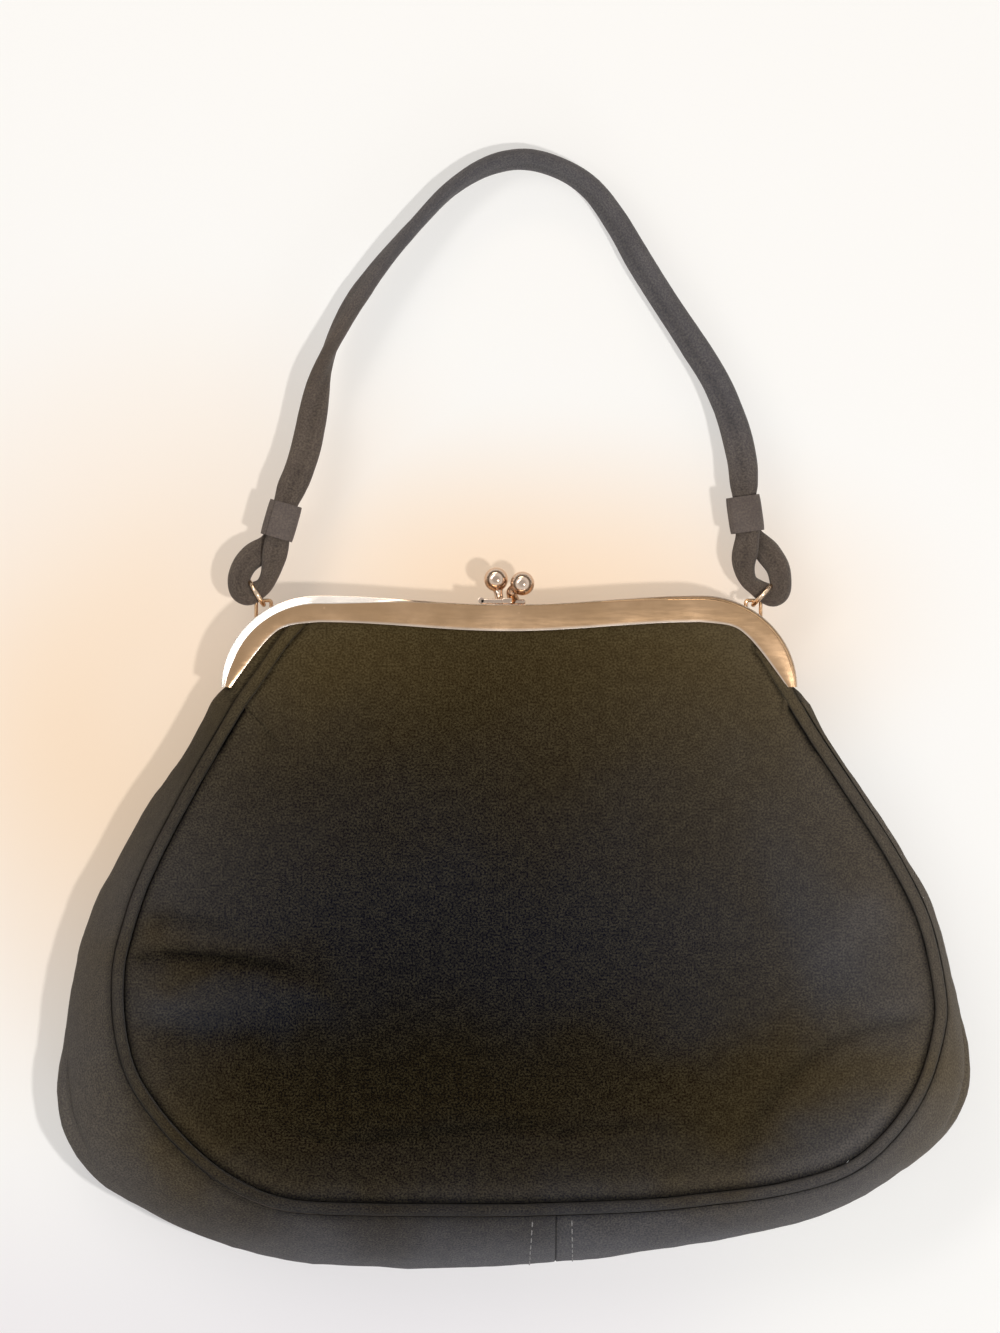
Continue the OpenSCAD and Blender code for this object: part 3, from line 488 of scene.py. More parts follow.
inner_x = FRONT_EAR_X - EAR_GAP - RIVET_HEAD_T
rivet_l = BACK_EAR_X + EAR_T + RIVET_HEAD_T - inner_x
head = [(RIVET_HEAD_T * (1 - math.cos(a)), RIVET_HEAD_D / 2 * math.sin(a))
        for a in np.linspace(0.08, np.pi / 2, 7)]
profile = head + [(RIVET_HEAD_T, RIVET_D / 2), (rivet_l - RIVET_HEAD_T, RIVET_D / 2)]
profile += [(rivet_l - d, r) for d, r in head[::-1]]
for side, word in WORDS.items():
    line = [(FRAME_X + side * (inner_x + d), AXIS_Y, FRAME_MID_Z) for d, _ in profile]
    rivet = wire(f"rivet_{word}", line, [r for _, r in profile], gilt, steps=48, start_side=(0.0, side, side))
    tell(rivet, f"hinge_rivet_{word}", "bag")

# The clasp
# Two polished balls on bent stems that snap past each other. Each stem is brazed to a small plate on
# the rim of its half of the frame, and the front plate's left end is rolled.
BALL_R = 4.0
BALL_PITCH = 8.75
FRONT_BALL_H = 8.4
BACK_BALL_H = 7.0
BALL_LEAN = 1.2
STEM_R = 1.2
CLASP_PLATE_L = 10.5
CLASP_PLATE_T = 1.7
CLASP_PLATE_D = 4.6
CLASP_Z = HALF_T / 2
# The rolled end: places along it and radii
ROLL = [(-2.3, 0.85), (-2.2, 1.1), (-1.0, 1.1), (1.0, 1.1), (2.2, 1.1), (2.3, 0.85)]
CLASP_PALE, CLASP_DEEP = (0.74, 0.585, 0.47), (0.62, 0.465, 0.355)
clasp_finish = gilt_finish("polished_gilt", CLASP_PALE, CLASP_DEEP, 0.10, (300.0, 300.0, 300.0), 0.000006)


def rounded_box(name, low, high, edge):
    """A small plate with softened edges."""
    points = [(x, y, z) for x in (low[0], high[0]) for y in (low[1], high[1]) for z in (low[2], high[2])]
    faces = [(0, 1, 3, 2), (4, 6, 7, 5), (0, 4, 5, 1), (2, 3, 7, 6), (0, 2, 6, 4), (1, 5, 7, 3)]
    return softened(make_piece(name, points, faces, clasp_finish), edge, 3)


def clasp_ball(name, foot, ball, bow, girth):
    """A ball with its neck and bent stem as one turned and bent piece."""
    t = np.linspace(0.0, 1.0, 14)[:, None]
    foot, ball = np.array(foot), np.array(ball)
    line = (1 - t) ** 2 * foot + 2 * t * (1 - t) * ((foot + ball) / 2 + bow) + t ** 2 * ball
    line = line[np.linalg.norm(line - ball, axis=1) > BALL_R * 0.93]
    last = len(line) - 1
    stem = STEM_R * np.array([1.4, girth, girth, 1.25])
    radii = np.interp(np.arange(last + 1), [0, 1, last - 1, last], stem)
    a = np.linspace(math.asin(radii[-1] * 1.12 / BALL_R), np.pi - 0.04, 30)
    points = np.vstack([line, ball - np.outer(BALL_R * np.cos(a), unit(ball - line[-1]))])
    radii = np.append(radii, BALL_R * np.sin(a))
    return wire(name, points, radii, clasp_finish, steps=40, start_side=(1.0, 0.0, 0.0))


def by_frame(x, y, z):
    """A place measured from the middle of the frame and its parting plane."""
    return FRAME_X + x, y, FRAME_MID_Z + z


def plate_rest(x, length):
    """Height at which a plate touches the bar's highest place under it."""
    return LEG_Y + float(max(bar_y(x), bar_y(x + length)))


bar_middle = LEG_Y + float(bar_y(0.0))
x = -BALL_PITCH / 2 - CLASP_PLATE_L / 2
rest, right = plate_rest(x, CLASP_PLATE_L), x + CLASP_PLATE_L
clasp_front = [
    clasp_ball("clasp_ball_front", by_frame(-BALL_PITCH / 2 + 1.1, rest + 0.6, CLASP_Z - 2.4),
               by_frame(-BALL_PITCH / 2, bar_middle + FRONT_BALL_H, -BALL_LEAN), (0.4, -0.8, -1.6), 1.15),
    rounded_box("clasp_plate_front", by_frame(x, rest, CLASP_Z - CLASP_PLATE_D / 2),
                by_frame(right, rest + CLASP_PLATE_T, CLASP_Z + CLASP_PLATE_D / 2), 0.35),
    wire("clasp_roll_front", [by_frame(x + 0.35, rest + 1.1, CLASP_Z + d) for d, _ in ROLL],
         [r for _, r in ROLL], clasp_finish, start_side=(1.0, 0.0, 0.0)),
    rounded_box("clasp_boss_front", by_frame(right - 3.3, rest - 0.02, CLASP_Z - 1.0),
                by_frame(right + 0.02, rest + CLASP_PLATE_T + 0.3, CLASP_Z + CLASP_PLATE_D / 2 + 0.45), 0.4)]
length = CLASP_PLATE_L * 0.36
x = BALL_PITCH / 2 + 1.0 - length
rest = plate_rest(x, length)
clasp_back = [
    clasp_ball("clasp_ball_back", by_frame(BALL_PITCH / 2 - 2.2, rest + 0.5, -CLASP_Z),
               by_frame(BALL_PITCH / 2, bar_middle + BACK_BALL_H, BALL_LEAN), (-4.6, 1.9, 1.0), 1.5),
    rounded_box("clasp_plate_back", by_frame(x, rest, -CLASP_Z - CLASP_PLATE_D / 2),
                by_frame(x + length, rest + CLASP_PLATE_T, -CLASP_Z + CLASP_PLATE_D / 2), 0.35)]
for pieces, body, node in ((clasp_front, "front_frame", "clasp_front"), (clasp_back, "bag", "clasp_back")):
    for made in pieces:
        tell(made, node if made is pieces[0] else None, body)

# The staples and the rings
# A bent wire staple stands on each shoulder of the back half, brazed in at both posts, and a closed
# wire ring hangs on its bar.
STAPLE_X = 82.8
STAPLE_RISE = 28.9
STAPLE_WIRE_R = 0.6
STAPLE_PITCH = 5.0
STAPLE_BEND = 0.8
STAPLE_Z = FRAME_MID_Z - HALF_T / 2
RING_R = 4.45
RING_WIRE_R = 0.75
RING_PALE, RING_DEEP = (0.84, 0.66, 0.50), (0.74, 0.55, 0.38)
WIRE_UNDER_BAR = RING_WIRE_R + STAPLE_WIRE_R + 0.1
LEANS = {-1: math.radians(31.0), 1: math.radians(43.0)}


def post_foot(x):
    """The end of a staple's post, inside the rim, at a distance from the frame's middle."""
    s = (abs(x) - BAR_HALF) / SHOULDER_W
    rim = float(bar_y(x)) if s <= 0 else FRAME_H * math.sqrt(max(0.0, 1 - s * s))
    return x, LEG_Y + rim - RIM_T


def ring_place(side):
    """Middle of a ring, from the middle of the frame and the end of the legs."""
    hang = RING_R - WIRE_UNDER_BAR / math.cos(LEANS[side])
    return STAPLE_X + hang * math.sin(LEANS[side]), STAPLE_RISE + hang * math.cos(LEANS[side])


ring_finish = gilt_finish("ring_gilt", RING_PALE, RING_DEEP, 0.17, (260.0, 260.0, 260.0), 0.00001)
for side, word in WORDS.items():
    middle, top = side * (STAPLE_X - WIRE_UNDER_BAR * math.tan(LEANS[side])), LEG_Y + STAPLE_RISE
    left, right = middle - STAPLE_PITCH / 2, middle + STAPLE_PITCH / 2
    bend = [(STAPLE_BEND * (1 - math.cos(a)), top - STAPLE_BEND * (1 - math.sin(a)))
            for a in np.linspace(0.2, np.pi / 2, 5)]
    line = [post_foot(left), (left, top - STAPLE_BEND)] + [(left + x, y) for x, y in bend]
    line += [(right - x, y) for x, y in bend[::-1]] + [(right, top - STAPLE_BEND), post_foot(right)]
    staple = wire(f"staple_wire_{word}", [(FRAME_X + x, y, STAPLE_Z) for x, y in line], STAPLE_WIRE_R, gilt)
    tell(staple, f"staple_{word}", "bag")

    ring_x, ring_y = ring_place(side)
    across, up = np.array([(side * math.sin(LEANS[side]), math.cos(LEANS[side]), 0.0), (0.0, 0.0, 1.0)])
    middle = np.array([FRAME_X + side * ring_x, LEG_Y + ring_y, STAPLE_Z])
    circle = [middle + RING_R * (across * math.cos(a) + up * math.sin(a))
              for a in np.linspace(0.0, 2 * np.pi, 72, endpoint=False)]
    through_ring = np.cross(across, up)
    ring = wire(f"ring_{word}", circle, RING_WIRE_R, ring_finish, closed=True, start_side=through_ring)
    tell(ring, f"handle_ring_{word}", "handle")

# The back panel
# A rounded panel of black woven cloth that lies flat on the table and turns up to its seam. Its upper
# edge is gripped in the back half's channel.
BAG_W = 303.0
BAG_H = 224.0
BAR_TOP_Y = 37.25
SEAM_STEPS = 220
JOIN_STATION = 113
CLOTH_T = 1.2
SEAM_GAP = 0.25
PIPING_W = 4.0
PIPING_H = 2.3
BEAD_REACH = PIPING_W / 2 + SEAM_GAP
SLIP = (9.0, 10.0)
SEAM_Z = {1: 34.0, -1: 2.8}
BULGE_Z = 18.0
CHANNEL_Z = HALF_T - PLATE_T - SEAM_GAP - CLOTH_T / 2
EDGE_TUCK = 3.0
TOP_SHARE = 0.163
FULL_SHARE = 0.72
CHANGE_SHARE = 0.3
OUTLINE = [
    (-0.666, 0.163), (-0.732, 0.245), (-0.793, 0.305), (-0.868, 0.394), (-0.932, 0.483), (-0.967, 0.573),
    (-0.985, 0.662), (-1.000, 0.736), (-0.980, 0.805), (-0.914, 0.870), (-0.796, 0.917), (-0.653, 0.960),
    (-0.466, 0.991), (-0.246, 1.000), (0.018, 0.996), (0.281, 0.978), (0.523, 0.949), (0.721, 0.912),
    (0.842, 0.863), (0.952, 0.803), (1.000, 0.736), (0.996, 0.662), (0.974, 0.580), (0.930, 0.468),
    (0.859, 0.383), (0.776, 0.305), (0.714, 0.245), (0.653, 0.163)]
FRONT_SEAM = [
    (-0.600, 0.163), (-0.714, 0.297), (-0.802, 0.415), (-0.844, 0.498), (-0.862, 0.558), (-0.859, 0.637),
    (-0.833, 0.708), (-0.776, 0.769), (-0.703, 0.823), (-0.620, 0.867), (-0.525, 0.896), (-0.431, 0.906),
    (-0.229, 0.909), (0.013, 0.909), (0.277, 0.903), (0.431, 0.893), (0.585, 0.879), (0.730, 0.850),
    (0.824, 0.800), (0.895, 0.730), (0.933, 0.646), (0.936, 0.587), (0.903, 0.483), (0.838, 0.392),
    (0.762, 0.310), (0.672, 0.218), (0.622, 0.163)]


def placed(shares):
    """Places in millimetres from shares of the bag's half width and of its height."""
    return np.array(shares) * [BAG_W / 2, -BAG_H] + [0.0, BAR_TOP_Y]


def outward(line):
    """Directions out of the bag along a line that runs from its left to its right."""
    d = np.vstack([line[1:], line[-1:]]) - np.vstack([line[:1], line[:-1]])
    return unit(np.column_stack([d[:, 1], -d[:, 0]]))


outline_curve = through(placed(OUTLINE), 8)
outline_run = lengths(outline_curve)
front_seam = evened(through(placed(FRONT_SEAM), 8), SEAM_STEPS)
# The outline's stations are moved along it near the bottom join, so that the join stands upright
stations = np.arange(SEAM_STEPS + 1)
even_run = np.linspace(0.0, outline_run[-1], SEAM_STEPS + 1)
ahead = looked_up(even_run, outline_run, outline_curve)[JOIN_STATION, 0] - front_seam[JOIN_STATION, 0]
outline = looked_up(even_run - ahead * bell(stations - JOIN_STATION, 22.0), outline_run, outline_curve)
from_top = (BAR_TOP_Y - front_seam[:, 1]) / BAG_H - TOP_SHARE
drop = smooth(from_top / (FULL_SHARE - TOP_SHARE))
back_seam = front_seam - np.column_stack([SLIP[0] * between(0.45, 1.0, drop), SLIP[1] * drop])
seam_line = {1: front_seam, -1: back_seam}
seam_out = {side: outward(line) for side, line in seam_line.items()}
seam_height = {side: between(FRAME_MID_Z + side * CHANNEL_Z, SEAM_Z[side], drop) for side in (1, -1)}


def panel_rim(side):
    """A panel's edge all round: x, y, height, and how far the arch rules there."""
    seam = seam_line[side] - seam_out[side] * BEAD_REACH
    along_seam = np.column_stack([seam, seam_height[side], 1 - smooth(from_top / CHANGE_SHARE)])
    width = np.linalg.norm(frame_outer - frame_inner, axis=1)[:, None]
    tuck = np.minimum(EDGE_TUCK, width - RIM_T - 0.2)
    line = (frame_inner + (frame_outer - frame_inner) / width * tuck + [FRAME_X, LEG_Y])[::-1]
    level = np.full(len(line), FRAME_MID_Z + side * CHANNEL_Z)
    return np.vstack([along_seam, np.column_stack([line, level, np.ones(len(line))])])


def denser(rim, step):
    """The closed rim with points at most a step apart, and each point's share of its length."""
    parts = []
    for a, b in zip(rim, np.roll(rim, -1, axis=0)):
        count = max(1, int(np.linalg.norm((b - a)[:2]) / step))
        parts.append(a + (b - a) * (np.arange(count) / count)[:, None])
    dense = np.vstack(parts)
    gap = np.linalg.norm(np.roll(dense, -1, axis=0)[:, :2] - dense[:, :2], axis=1)
    return dense, (gap + np.roll(gap, 1)) / 2


def reach_in(points, rim):
    """For each point: its reach in from the rim, the rim's height near it, and how far the arch rules."""
    dense, length = denser(rim, 0.6)
    parts = []
    for start in range(0, len(points), 1500):
        p = points[start:start + 1500, None, :2]
        weight = length / (((p - dense[None, :, :2]) ** 2).sum(2) + 1e-8) ** 1.5
        total = weight.sum(1)
        parts.append([np.sqrt(2 / total)] + [(weight * dense[:, k]).sum(1) / total for k in (2, 3)])
    return np.concatenate(parts, axis=1)


def ringed(rim, shares):
    """Points of a panel in rings from its rim to near its centre, with the centre last."""
    rings = [PANEL_CENTRE + (rim[:, :2] - PANEL_CENTRE) * s for s in shares]
    return np.vstack(rings + [PANEL_CENTRE])


def uneven(points, scale, seed):
    """Smooth chance height for each point, between about -1 and 1."""
    shift = Vector((seed * 13.7, seed * 7.1, seed * 3.3))
    return np.array([noise.fractal(Vector((*p, 0.0)[:3]) / scale + shift, 1.0, 2.0, 3) for p in points])


def closed_panel(name, points, heights, thickness, n, finish):
    """A panel with its thickness, from ringed points, n to a ring, and the heights of its outer face."""
    size = len(points)
    last = size - 1 - n
    faces = quads(last // n + 1, n) + [(last + k, last + (k + 1) % n, size - 1) for k in range(n)]
    lower = [tuple(i + size for i in f[::-1]) for f in faces]
    edge = [(k, k + size, (k + 1) % n + size, (k + 1) % n) for k in range(n)]
    top = np.column_stack([points, heights])
    under = top - [0.0, 0.0, thickness]
    return make_piece(name, np.vstack([top, under]), faces + lower + edge, finish, crease=60.0)


# Painted sheen on the black cloth: darkest round a middle and lighter towards the edges, with these reaches
PAINTED_SHEEN_CENTRE = (-40.7, -114.3)
PAINTED_SHEEN_REACH = {"left": 98.0, "right": 160.0, "up": 150.0, "down": 77.0}
# Painted sheen, as brightness on the screen out of 255: in the middle, gained by the reach, and the furthest
# place that gains
PAINTED_SHEEN_DARKEST, PAINTED_SHEEN_GAIN, PAINTED_SHEEN_FURTHEST = 35.0, 38.5, 1.45
SCREEN_GAMMA = 2.2
DYE_NEUTRAL = np.array((1.0, 0.84, 0.66))
# Hues of the painted warm light and the painted cool light
WARM_LIGHT_HUE = np.array((1.0, 0.70, 0.26))
COOL_LIGHT_HUE = np.array((1.0, 0.965, 1.01))
# Painted warm light, painted cool light and painted lit patches on the cloth: middle, half lengths, lean in
# degrees, strength
WARM_LIGHT_PARTS = [(-10, 20, 110, 46, 0, 0.95), (-36, -128, 88, 22, 3, 1.0), (60, -128, 76, 22, 4, 0.85),
               (0, -152, 110, 12, 0, 0.7), (-90, -87, 34, 8, -5, 0.9)]
COOL_LIGHT_PARTS = [(-20, -74, 98, 24, -4, 0.55), (-88, -100, 34, 8, 5, 0.8), (105, -78, 16, 32, 28, 0.7),
              (20, -186, 150, 26, 3, 1.0), (100, -160, 40, 20, 30, 0.7), (-142, -132, 16, 44, 25, 0.45)]
PAINTED_LIT_PARTS = [(-80, -56, 48, 26, 0, 0.15), (-62, 12, 34, 24, 30, 0.35), (-60, -192, 150, 17, 3, 0.65)]
SHEEN_ROUGH, SHEEN_TINT = 0.45, (0.72, 0.70, 0.68, 1.0)
THREAD_WOBBLE = (0.00012, 0.00012, 0.0)
TONE_TO_GRAIN = (0.25, 0.25, 0.25)
LEAST_GRAIN = (0.026, 0.0225, 0.012)
LEAST_TONE = (0.0015, 0.001, 0.0006)


def part_share(points, parts):
    """How much each point belongs to the soft parts of the cloth in a list."""
    ragged = np.column_stack([uneven(points, 30.0, 21.0), uneven(points, 30.0, 22.0)]) * 9.0
    share = np.zeros(len(points))
    for x, y, half_x, half_y, lean, strength in parts:
        d = points[:, :2] + ragged - [x, y]
        c, s = math.cos(math.radians(lean)), math.sin(math.radians(lean))
        far = ((d[:, 0] * c + d[:, 1] * s) / half_x) ** 2 + ((d[:, 1] * c - d[:, 0] * s) / half_y) ** 2
        share = np.maximum(share, strength * np.exp(-far ** 1.5 * 0.7))
    return share


def lay_cloth(made, run, level=1.0, tint=None):
    """A piece's measure along the cloth, for its weave, and its tone: by its place, with painted sheen and
    painted warm, cool and lit patches, or of one tint; times a level that carries painted shade and light.
    """
    places = np.empty(len(made.data.vertices) * 3)
    made.data.vertices.foreach_get("co", places)
    places = places.reshape(-1, 3) / MM
    if tint is None:
        # Painted sheen: lighter with the reach from the middle
        d = places[:, :2] - PAINTED_SHEEN_CENTRE
        far = (d[:, 0] / np.where(d[:, 0] < 0, PAINTED_SHEEN_REACH["left"], PAINTED_SHEEN_REACH["right"])) ** 2
        far += (d[:, 1] / np.where(d[:, 1] > 0, PAINTED_SHEEN_REACH["up"], PAINTED_SHEEN_REACH["down"])) ** 2
        light = ((PAINTED_SHEEN_DARKEST + PAINTED_SHEEN_GAIN * np.minimum(far, PAINTED_SHEEN_FURTHEST)) / 255.0) ** SCREEN_GAMMA
        # Painted lit patches, then painted warm and cool light
        light *= 1 + part_share(places, PAINTED_LIT_PARTS)
        hue = between(DYE_NEUTRAL, WARM_LIGHT_HUE, part_share(places, WARM_LIGHT_PARTS)[:, None])
        tone = light[:, None] * between(hue, COOL_LIGHT_HUE, part_share(places, COOL_LIGHT_PARTS)[:, None])
    else:
        tone = np.array(tint) * (1 + 0.12 * uneven(places, 14.0, 23.0))[:, None]
    for name, values in (("cloth_run", run * MM), ("cloth_tone", tone * np.reshape(level, (-1, 1)))):
        made.data.attributes.new(name, "FLOAT_VECTOR", "POINT").data.foreach_set("vector", values.ravel())


def cloth_finish(name, tilt=0.0, pitch=0.44, fuzz=0.03, contrast=0.6):
    """Matte woven cloth: crossing threads, flecks and slubs over its tone, and a light fuzz."""
    finish, tree, shader = new_finish(name)
    run, tone = [add(tree, "Attribute", {}, attribute_name=word).outputs["Vector"]
                 for word in ("cloth_run", "cloth_tone")]
    turned = mapped(tree, run, Rotation=(0.0, 0.0, math.radians(tilt)))
    wobble = add(tree, "TexNoise", {"Vector": turned, "Scale": 500.0, "Detail": 2.0}).outputs["Color"]
    bent = vectors(tree, "MULTIPLY_ADD", wobble, THREAD_WOBBLE, turned)
    split = add(tree, "SeparateXYZ", {"Vector": bent}).outputs
    per_thread = 2 * math.pi / (pitch * MM)
    waves = [maths(tree, "SINE", maths(tree, "MULTIPLY", split[axis], per_thread)) for axis in "XY"]
    weave = maths(tree, "MULTIPLY", *waves)
    flecks = noisy(tree, run, 1500.0, 3.0, Roughness=0.6)
    slubs = noisy(tree, mapped(tree, run, Scale=(160.0, 1400.0, 1.0)), 1.0, 2.0)
    wear_and_highlight = noisy(tree, run, 260.0, 3.0)
    share = ramp(tree, flecks, 0.34, 0.66, 1 - contrast, 1 + contrast)
    for pattern in ((weave, -1.0, 1.0, 0.78, 1.12), (wear_and_highlight, 0.35, 0.65, 0.88, 1.12),
                    (slubs, 0.62, 0.80, 1.0, 1.35)):
        share = maths(tree, "MULTIPLY", share, ramp(tree, *pattern))
    grain = vectors(tree, "MULTIPLY_ADD", tone, TONE_TO_GRAIN, LEAST_GRAIN)
    change = {0: grain, "Scale": maths(tree, "SUBTRACT", share, 1.0)}
    change = add(tree, "VectorMath", change, operation="SCALE").outputs["Vector"]
    tone = vectors(tree, "MAXIMUM", vectors(tree, "ADD", tone, change), LEAST_TONE)
    knit = maths(tree, "MULTIPLY_ADD", slubs, 0.7, weave)
    inputs = {"Base Color": tone, "Roughness": ramp(tree, flecks, 0.3, 0.7, 0.80, 0.95),
              "Specular IOR Level": 0.05, "Sheen Weight": fuzz,
              "Sheen Roughness": SHEEN_ROUGH, "Sheen Tint": SHEEN_TINT}
    surface(tree, shader, inputs, (knit, 0.55, 0.00010), (flecks, 0.5, 0.00016))
    return finish


PANEL_CENTRE = np.array([0.02 * BAG_W / 2, BAR_TOP_Y - 0.56 * BAG_H])
BACK_SHARES = [1.0, 0.993, 0.984, 0.972, 0.958, 0.942, 0.924, 0.904, *np.linspace(0.88, 0.03, 34)]
panel_cloth = cloth_finish("black_cloth")
back_rim = panel_rim(-1)


def back_level(points):
    """Heights of the back cloth over the table: it turns up to its seam, and more steeply to the arch."""
    reach, rim_level, under_arch = reach_in(points, back_rim)
    fall = 1 - np.clip((reach - between(0.0, 3.5, under_arch)) / between(13.0, 26.0, under_arch), 0.0, 1.0)
    return (rim_level - CLOTH_T / 2) * smooth(fall) ** 1.25


def panel_run(points):
    """The measure along the cloth of a panel's outer and inner face."""
    return np.tile(np.column_stack([points, np.zeros(len(points))]), (2, 1))


back_points = ringed(back_rim, BACK_SHARES)
level = back_level(back_points) + CLOTH_T
made = closed_panel("panel_back", back_points, level, CLOTH_T, len(back_rim), panel_cloth)
lay_cloth(made, panel_run(back_points))
tell(made, "back_panel", "bag")

# The front panel
# The same cloth, cut wider than the back and left slack: it rises from the seams to a low crown, with
# creases that run in from both side seams and one lying across it near the bottom.
CROWN_Z = 46.0
HIDDEN_SHARE = 0.925
RIM_COLUMNS = 1440
# Each fold is a line of points, its height, its reach below and above, and the share in which it begins
FRONT_FOLDS = [
    ([(-128, -82.6), (-112, -81.6), (-99, -82.0), (-84, -84.0), (-70, -86.6), (-54, -90.5)],
     -3.0, 3.2, 1.0, 0.1),
    ([(-128, -78.6), (-112, -77.6), (-96, -78.2), (-78, -80.4), (-58, -84.0)], 1.1, 2.2, 4.0, 0.15),
    ([(-124, -71.0), (-112, -70.6), (-99, -72.2), (-88, -73.6)], -1.7, 2.4, 2.6, 0.25),
    ([(-128, -98.5), (-112, -97.4), (-94, -96.4), (-76, -95.0), (-58, -93.6), (-40, -93.0)],
     2.6, 6.4, 6.0, 0.15),
    ([(-128, -108.0), (-104, -108.4), (-80, -107.6), (-56, -104.6)], -1.2, 5.0, 2.6, 0.2),
    ([(133, -52), (124, -62), (112, -74), (100, -86), (86, -98)], 1.9, 7.5, 7.0, 0.45),
    ([(140, -104.0), (130, -104.6), (119, -106.6), (106, -112), (96, -119.6), (88, -128), (82, -137),
      (77, -148), (74, -160), (73, -174)], -1.5, 2.2, 3.6, 0.1),
    ([(140, -99.0), (124, -100.0), (110, -105.0), (98, -114)], 1.0, 4.0, 5.0, 0.2),
    ([(-92, -139.5), (-74, -141.0), (-56, -143.6), (-30, -141.0), (2.7, -138.4), (16, -140.6), (34, -139.0),
      (66, -139.4), (82, -141), (100, -141)], -1.5, 1.5, 2.4, 0.3),
    ([(-96, -12), (-70, -22), (-40, -27), (0, -28), (46, -24), (86, -12)], -0.7, 16.0, 14.0, 0.5),
    ([(-118, -118), (-88, -121), (-40, -122), (20, -121), (80, -118)], -1.4, 15.0, 13.0, 0.4)]
SHARP_FOLDS = 9
FRONT_SHARES = [1.0, 0.994, 0.987, 0.98, *np.linspace(0.972, 0.72, 30), *np.linspace(0.705, 0.02, 40)]
# The real seam runs on up under the frame: over the panel's cloth to the bar, and on the right to the leg
LEFT_SEAM_TOP = [(-69.3, 30.0), (-71.3, 27.4), (-76.0, 22.1), (-83.2, 11.6)]
RIGHT_SEAM_TOP = [(89.2, 9.0), (84.6, 16.6), (82.6, 19.6)]
front_rim = panel_rim(1)


def fold_height(points, folds):
    """Height that the folds add at each point."""
    total = np.zeros(len(points))
    for line, height, below, above, fade in folds:
        path = through(line, 6)
        run = lengths(path)
        best, offset, share = np.full(len(points), 1e9), np.zeros(len(points)), np.zeros(len(points))
        for i, (a, d) in enumerate(zip(path, np.diff(path, axis=0))):
            t = np.clip(((points - a) @ d) / d.dot(d), 0.0, 1.0)
            away = points - a - t[:, None] * d
            distance = np.linalg.norm(away, axis=1)
            near = distance < best
            best[near] = distance[near]
            offset[near] = (np.sign(away[:, 1]) * distance)[near]
            share[near] = (between(run[i], run[i + 1], t) / run[-1])[near]
        ends = smooth((share + 0.02) / fade) * smooth((1.0 - share) / 0.45)
        total += height * ends * bell(offset, np.where(offset < 0, below, above))
    return total


def around(points):
    """For each point: its share of the way from centre to rim, and the rim's height and arch there."""
    dense = denser(front_rim, 0.8)[0]
    span, away = dense[:, :2] - PANEL_CENTRE, points[:, :2] - PANEL_CENTRE
    angle, at = np.arctan2(span[:, 1], span[:, 0]), np.arctan2(away[:, 1], away[:, 0])
    order = np.argsort(angle)
    columns = np.column_stack([np.linalg.norm(span, axis=1), dense[:, 2:4]])[order]
    even = np.linspace(-np.pi, np.pi, RIM_COLUMNS, endpoint=False)
    exact = looked_up(even, angle[order], columns, period=2 * np.pi)
    count = np.arange(RIM_COLUMNS)
    spread = bell(np.minimum(count, RIM_COLUMNS - count), 26.0)
    soft = np.fft.rfft(exact, axis=0) * np.fft.rfft(spread / spread.sum())[:, None]
    soft = np.fft.irfft(soft, n=RIM_COLUMNS, axis=0)
    near, far = [looked_up(at, even, table, period=2 * np.pi) for table in (exact, soft)]
    length = np.linalg.norm(away, axis=1)
    edge = smooth((length / near[:, 0] - 0.83) / 0.15)[:, None]
    full, level, arch = between(far, near, edge).T
    return length / full, level, arch


def under_frame(points):
    """1 above the frame's legs, where the panel's edge is the arch's, and 0 below them."""
    return smooth((points[:, 1] - LEG_Y + 1.0) / 5.0)


def front_level(points):
    """Heights of the front panel's outer face."""
    reach = reach_in(points, front_rim)[0]
    share, level, arch = around(points)
    inside = np.clip(1 - share / HIDDEN_SHARE, 0.0, 1.0)
    below_arch = np.sin(np.pi / 2 * inside) ** 0.75 * (1 - np.exp(-inside / 0.05))
    beside_seam = np.sin(np.pi / 2 * np.clip(1 - share, 0.0, 1.0)) ** 0.85
    low = level + CLOTH_T / 2
    height = low + (CROWN_Z - low) * between(beside_seam, below_arch, arch)
    calm = smooth(reach / 14.0)
    height += fold_height(points, FRONT_FOLDS) * smooth(reach / 3.0) * (1 - arch * (1 - calm))
    height += 0.55 * uneven(points, 46.0, 1.0) * calm
    height += 0.16 * uneven(points * [1.0, 2.2], 13.0, 2.0) * calm
    pucker = 0.22 * uneven(points, 5.0, 3.0) * bell(reach - 3.0, 4.0) * (1 - arch)
    sunk = 0.9 * bell(reach, 1.1) * (1 - under_frame(points))
    return height + pucker * smooth(reach / 1.0) - sunk


def follow_front(made, node=None):
    """The piece's placement is baked into its mesh, and the CAD node it stands for is hidden."""
    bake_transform(made)
    tell(made, node)


front_points = ringed(front_rim, FRONT_SHARES)
front_heights = front_level(front_points)
welt_shade = np.ones(len(front_points))
left_welt, right_welt = LEFT_SEAM_TOP + [*front_seam[[0, 6]]], [*front_seam[[-7, -1]]] + RIGHT_SEAM_TOP
for line in (left_welt, right_welt):
    welt = evened(through(line, 6), 80)
    away = np.min([np.linalg.norm(front_points - p, axis=1) for p in welt], axis=0)
    front_heights -= 0.45 * bell(away - 2.3, 0.8)
    welt_shade *= 1 - 0.55 * bell(away - 2.2, 0.9)
made = closed_panel("panel_front", front_points, front_heights, CLOTH_T, len(front_rim), panel_cloth)
reach = reach_in(front_points, front_rim)[0]
# Painted shade in the sharp folds' hollows and painted light on their ridges, with painted shade along the
# seam and beside the welts
folded = fold_height(front_points, FRONT_FOLDS[:SHARP_FOLDS]) * smooth(reach / 3.0)
seam_shade = 1 - 0.45 * bell(reach, 1.35) * (1 - under_frame(front_points))
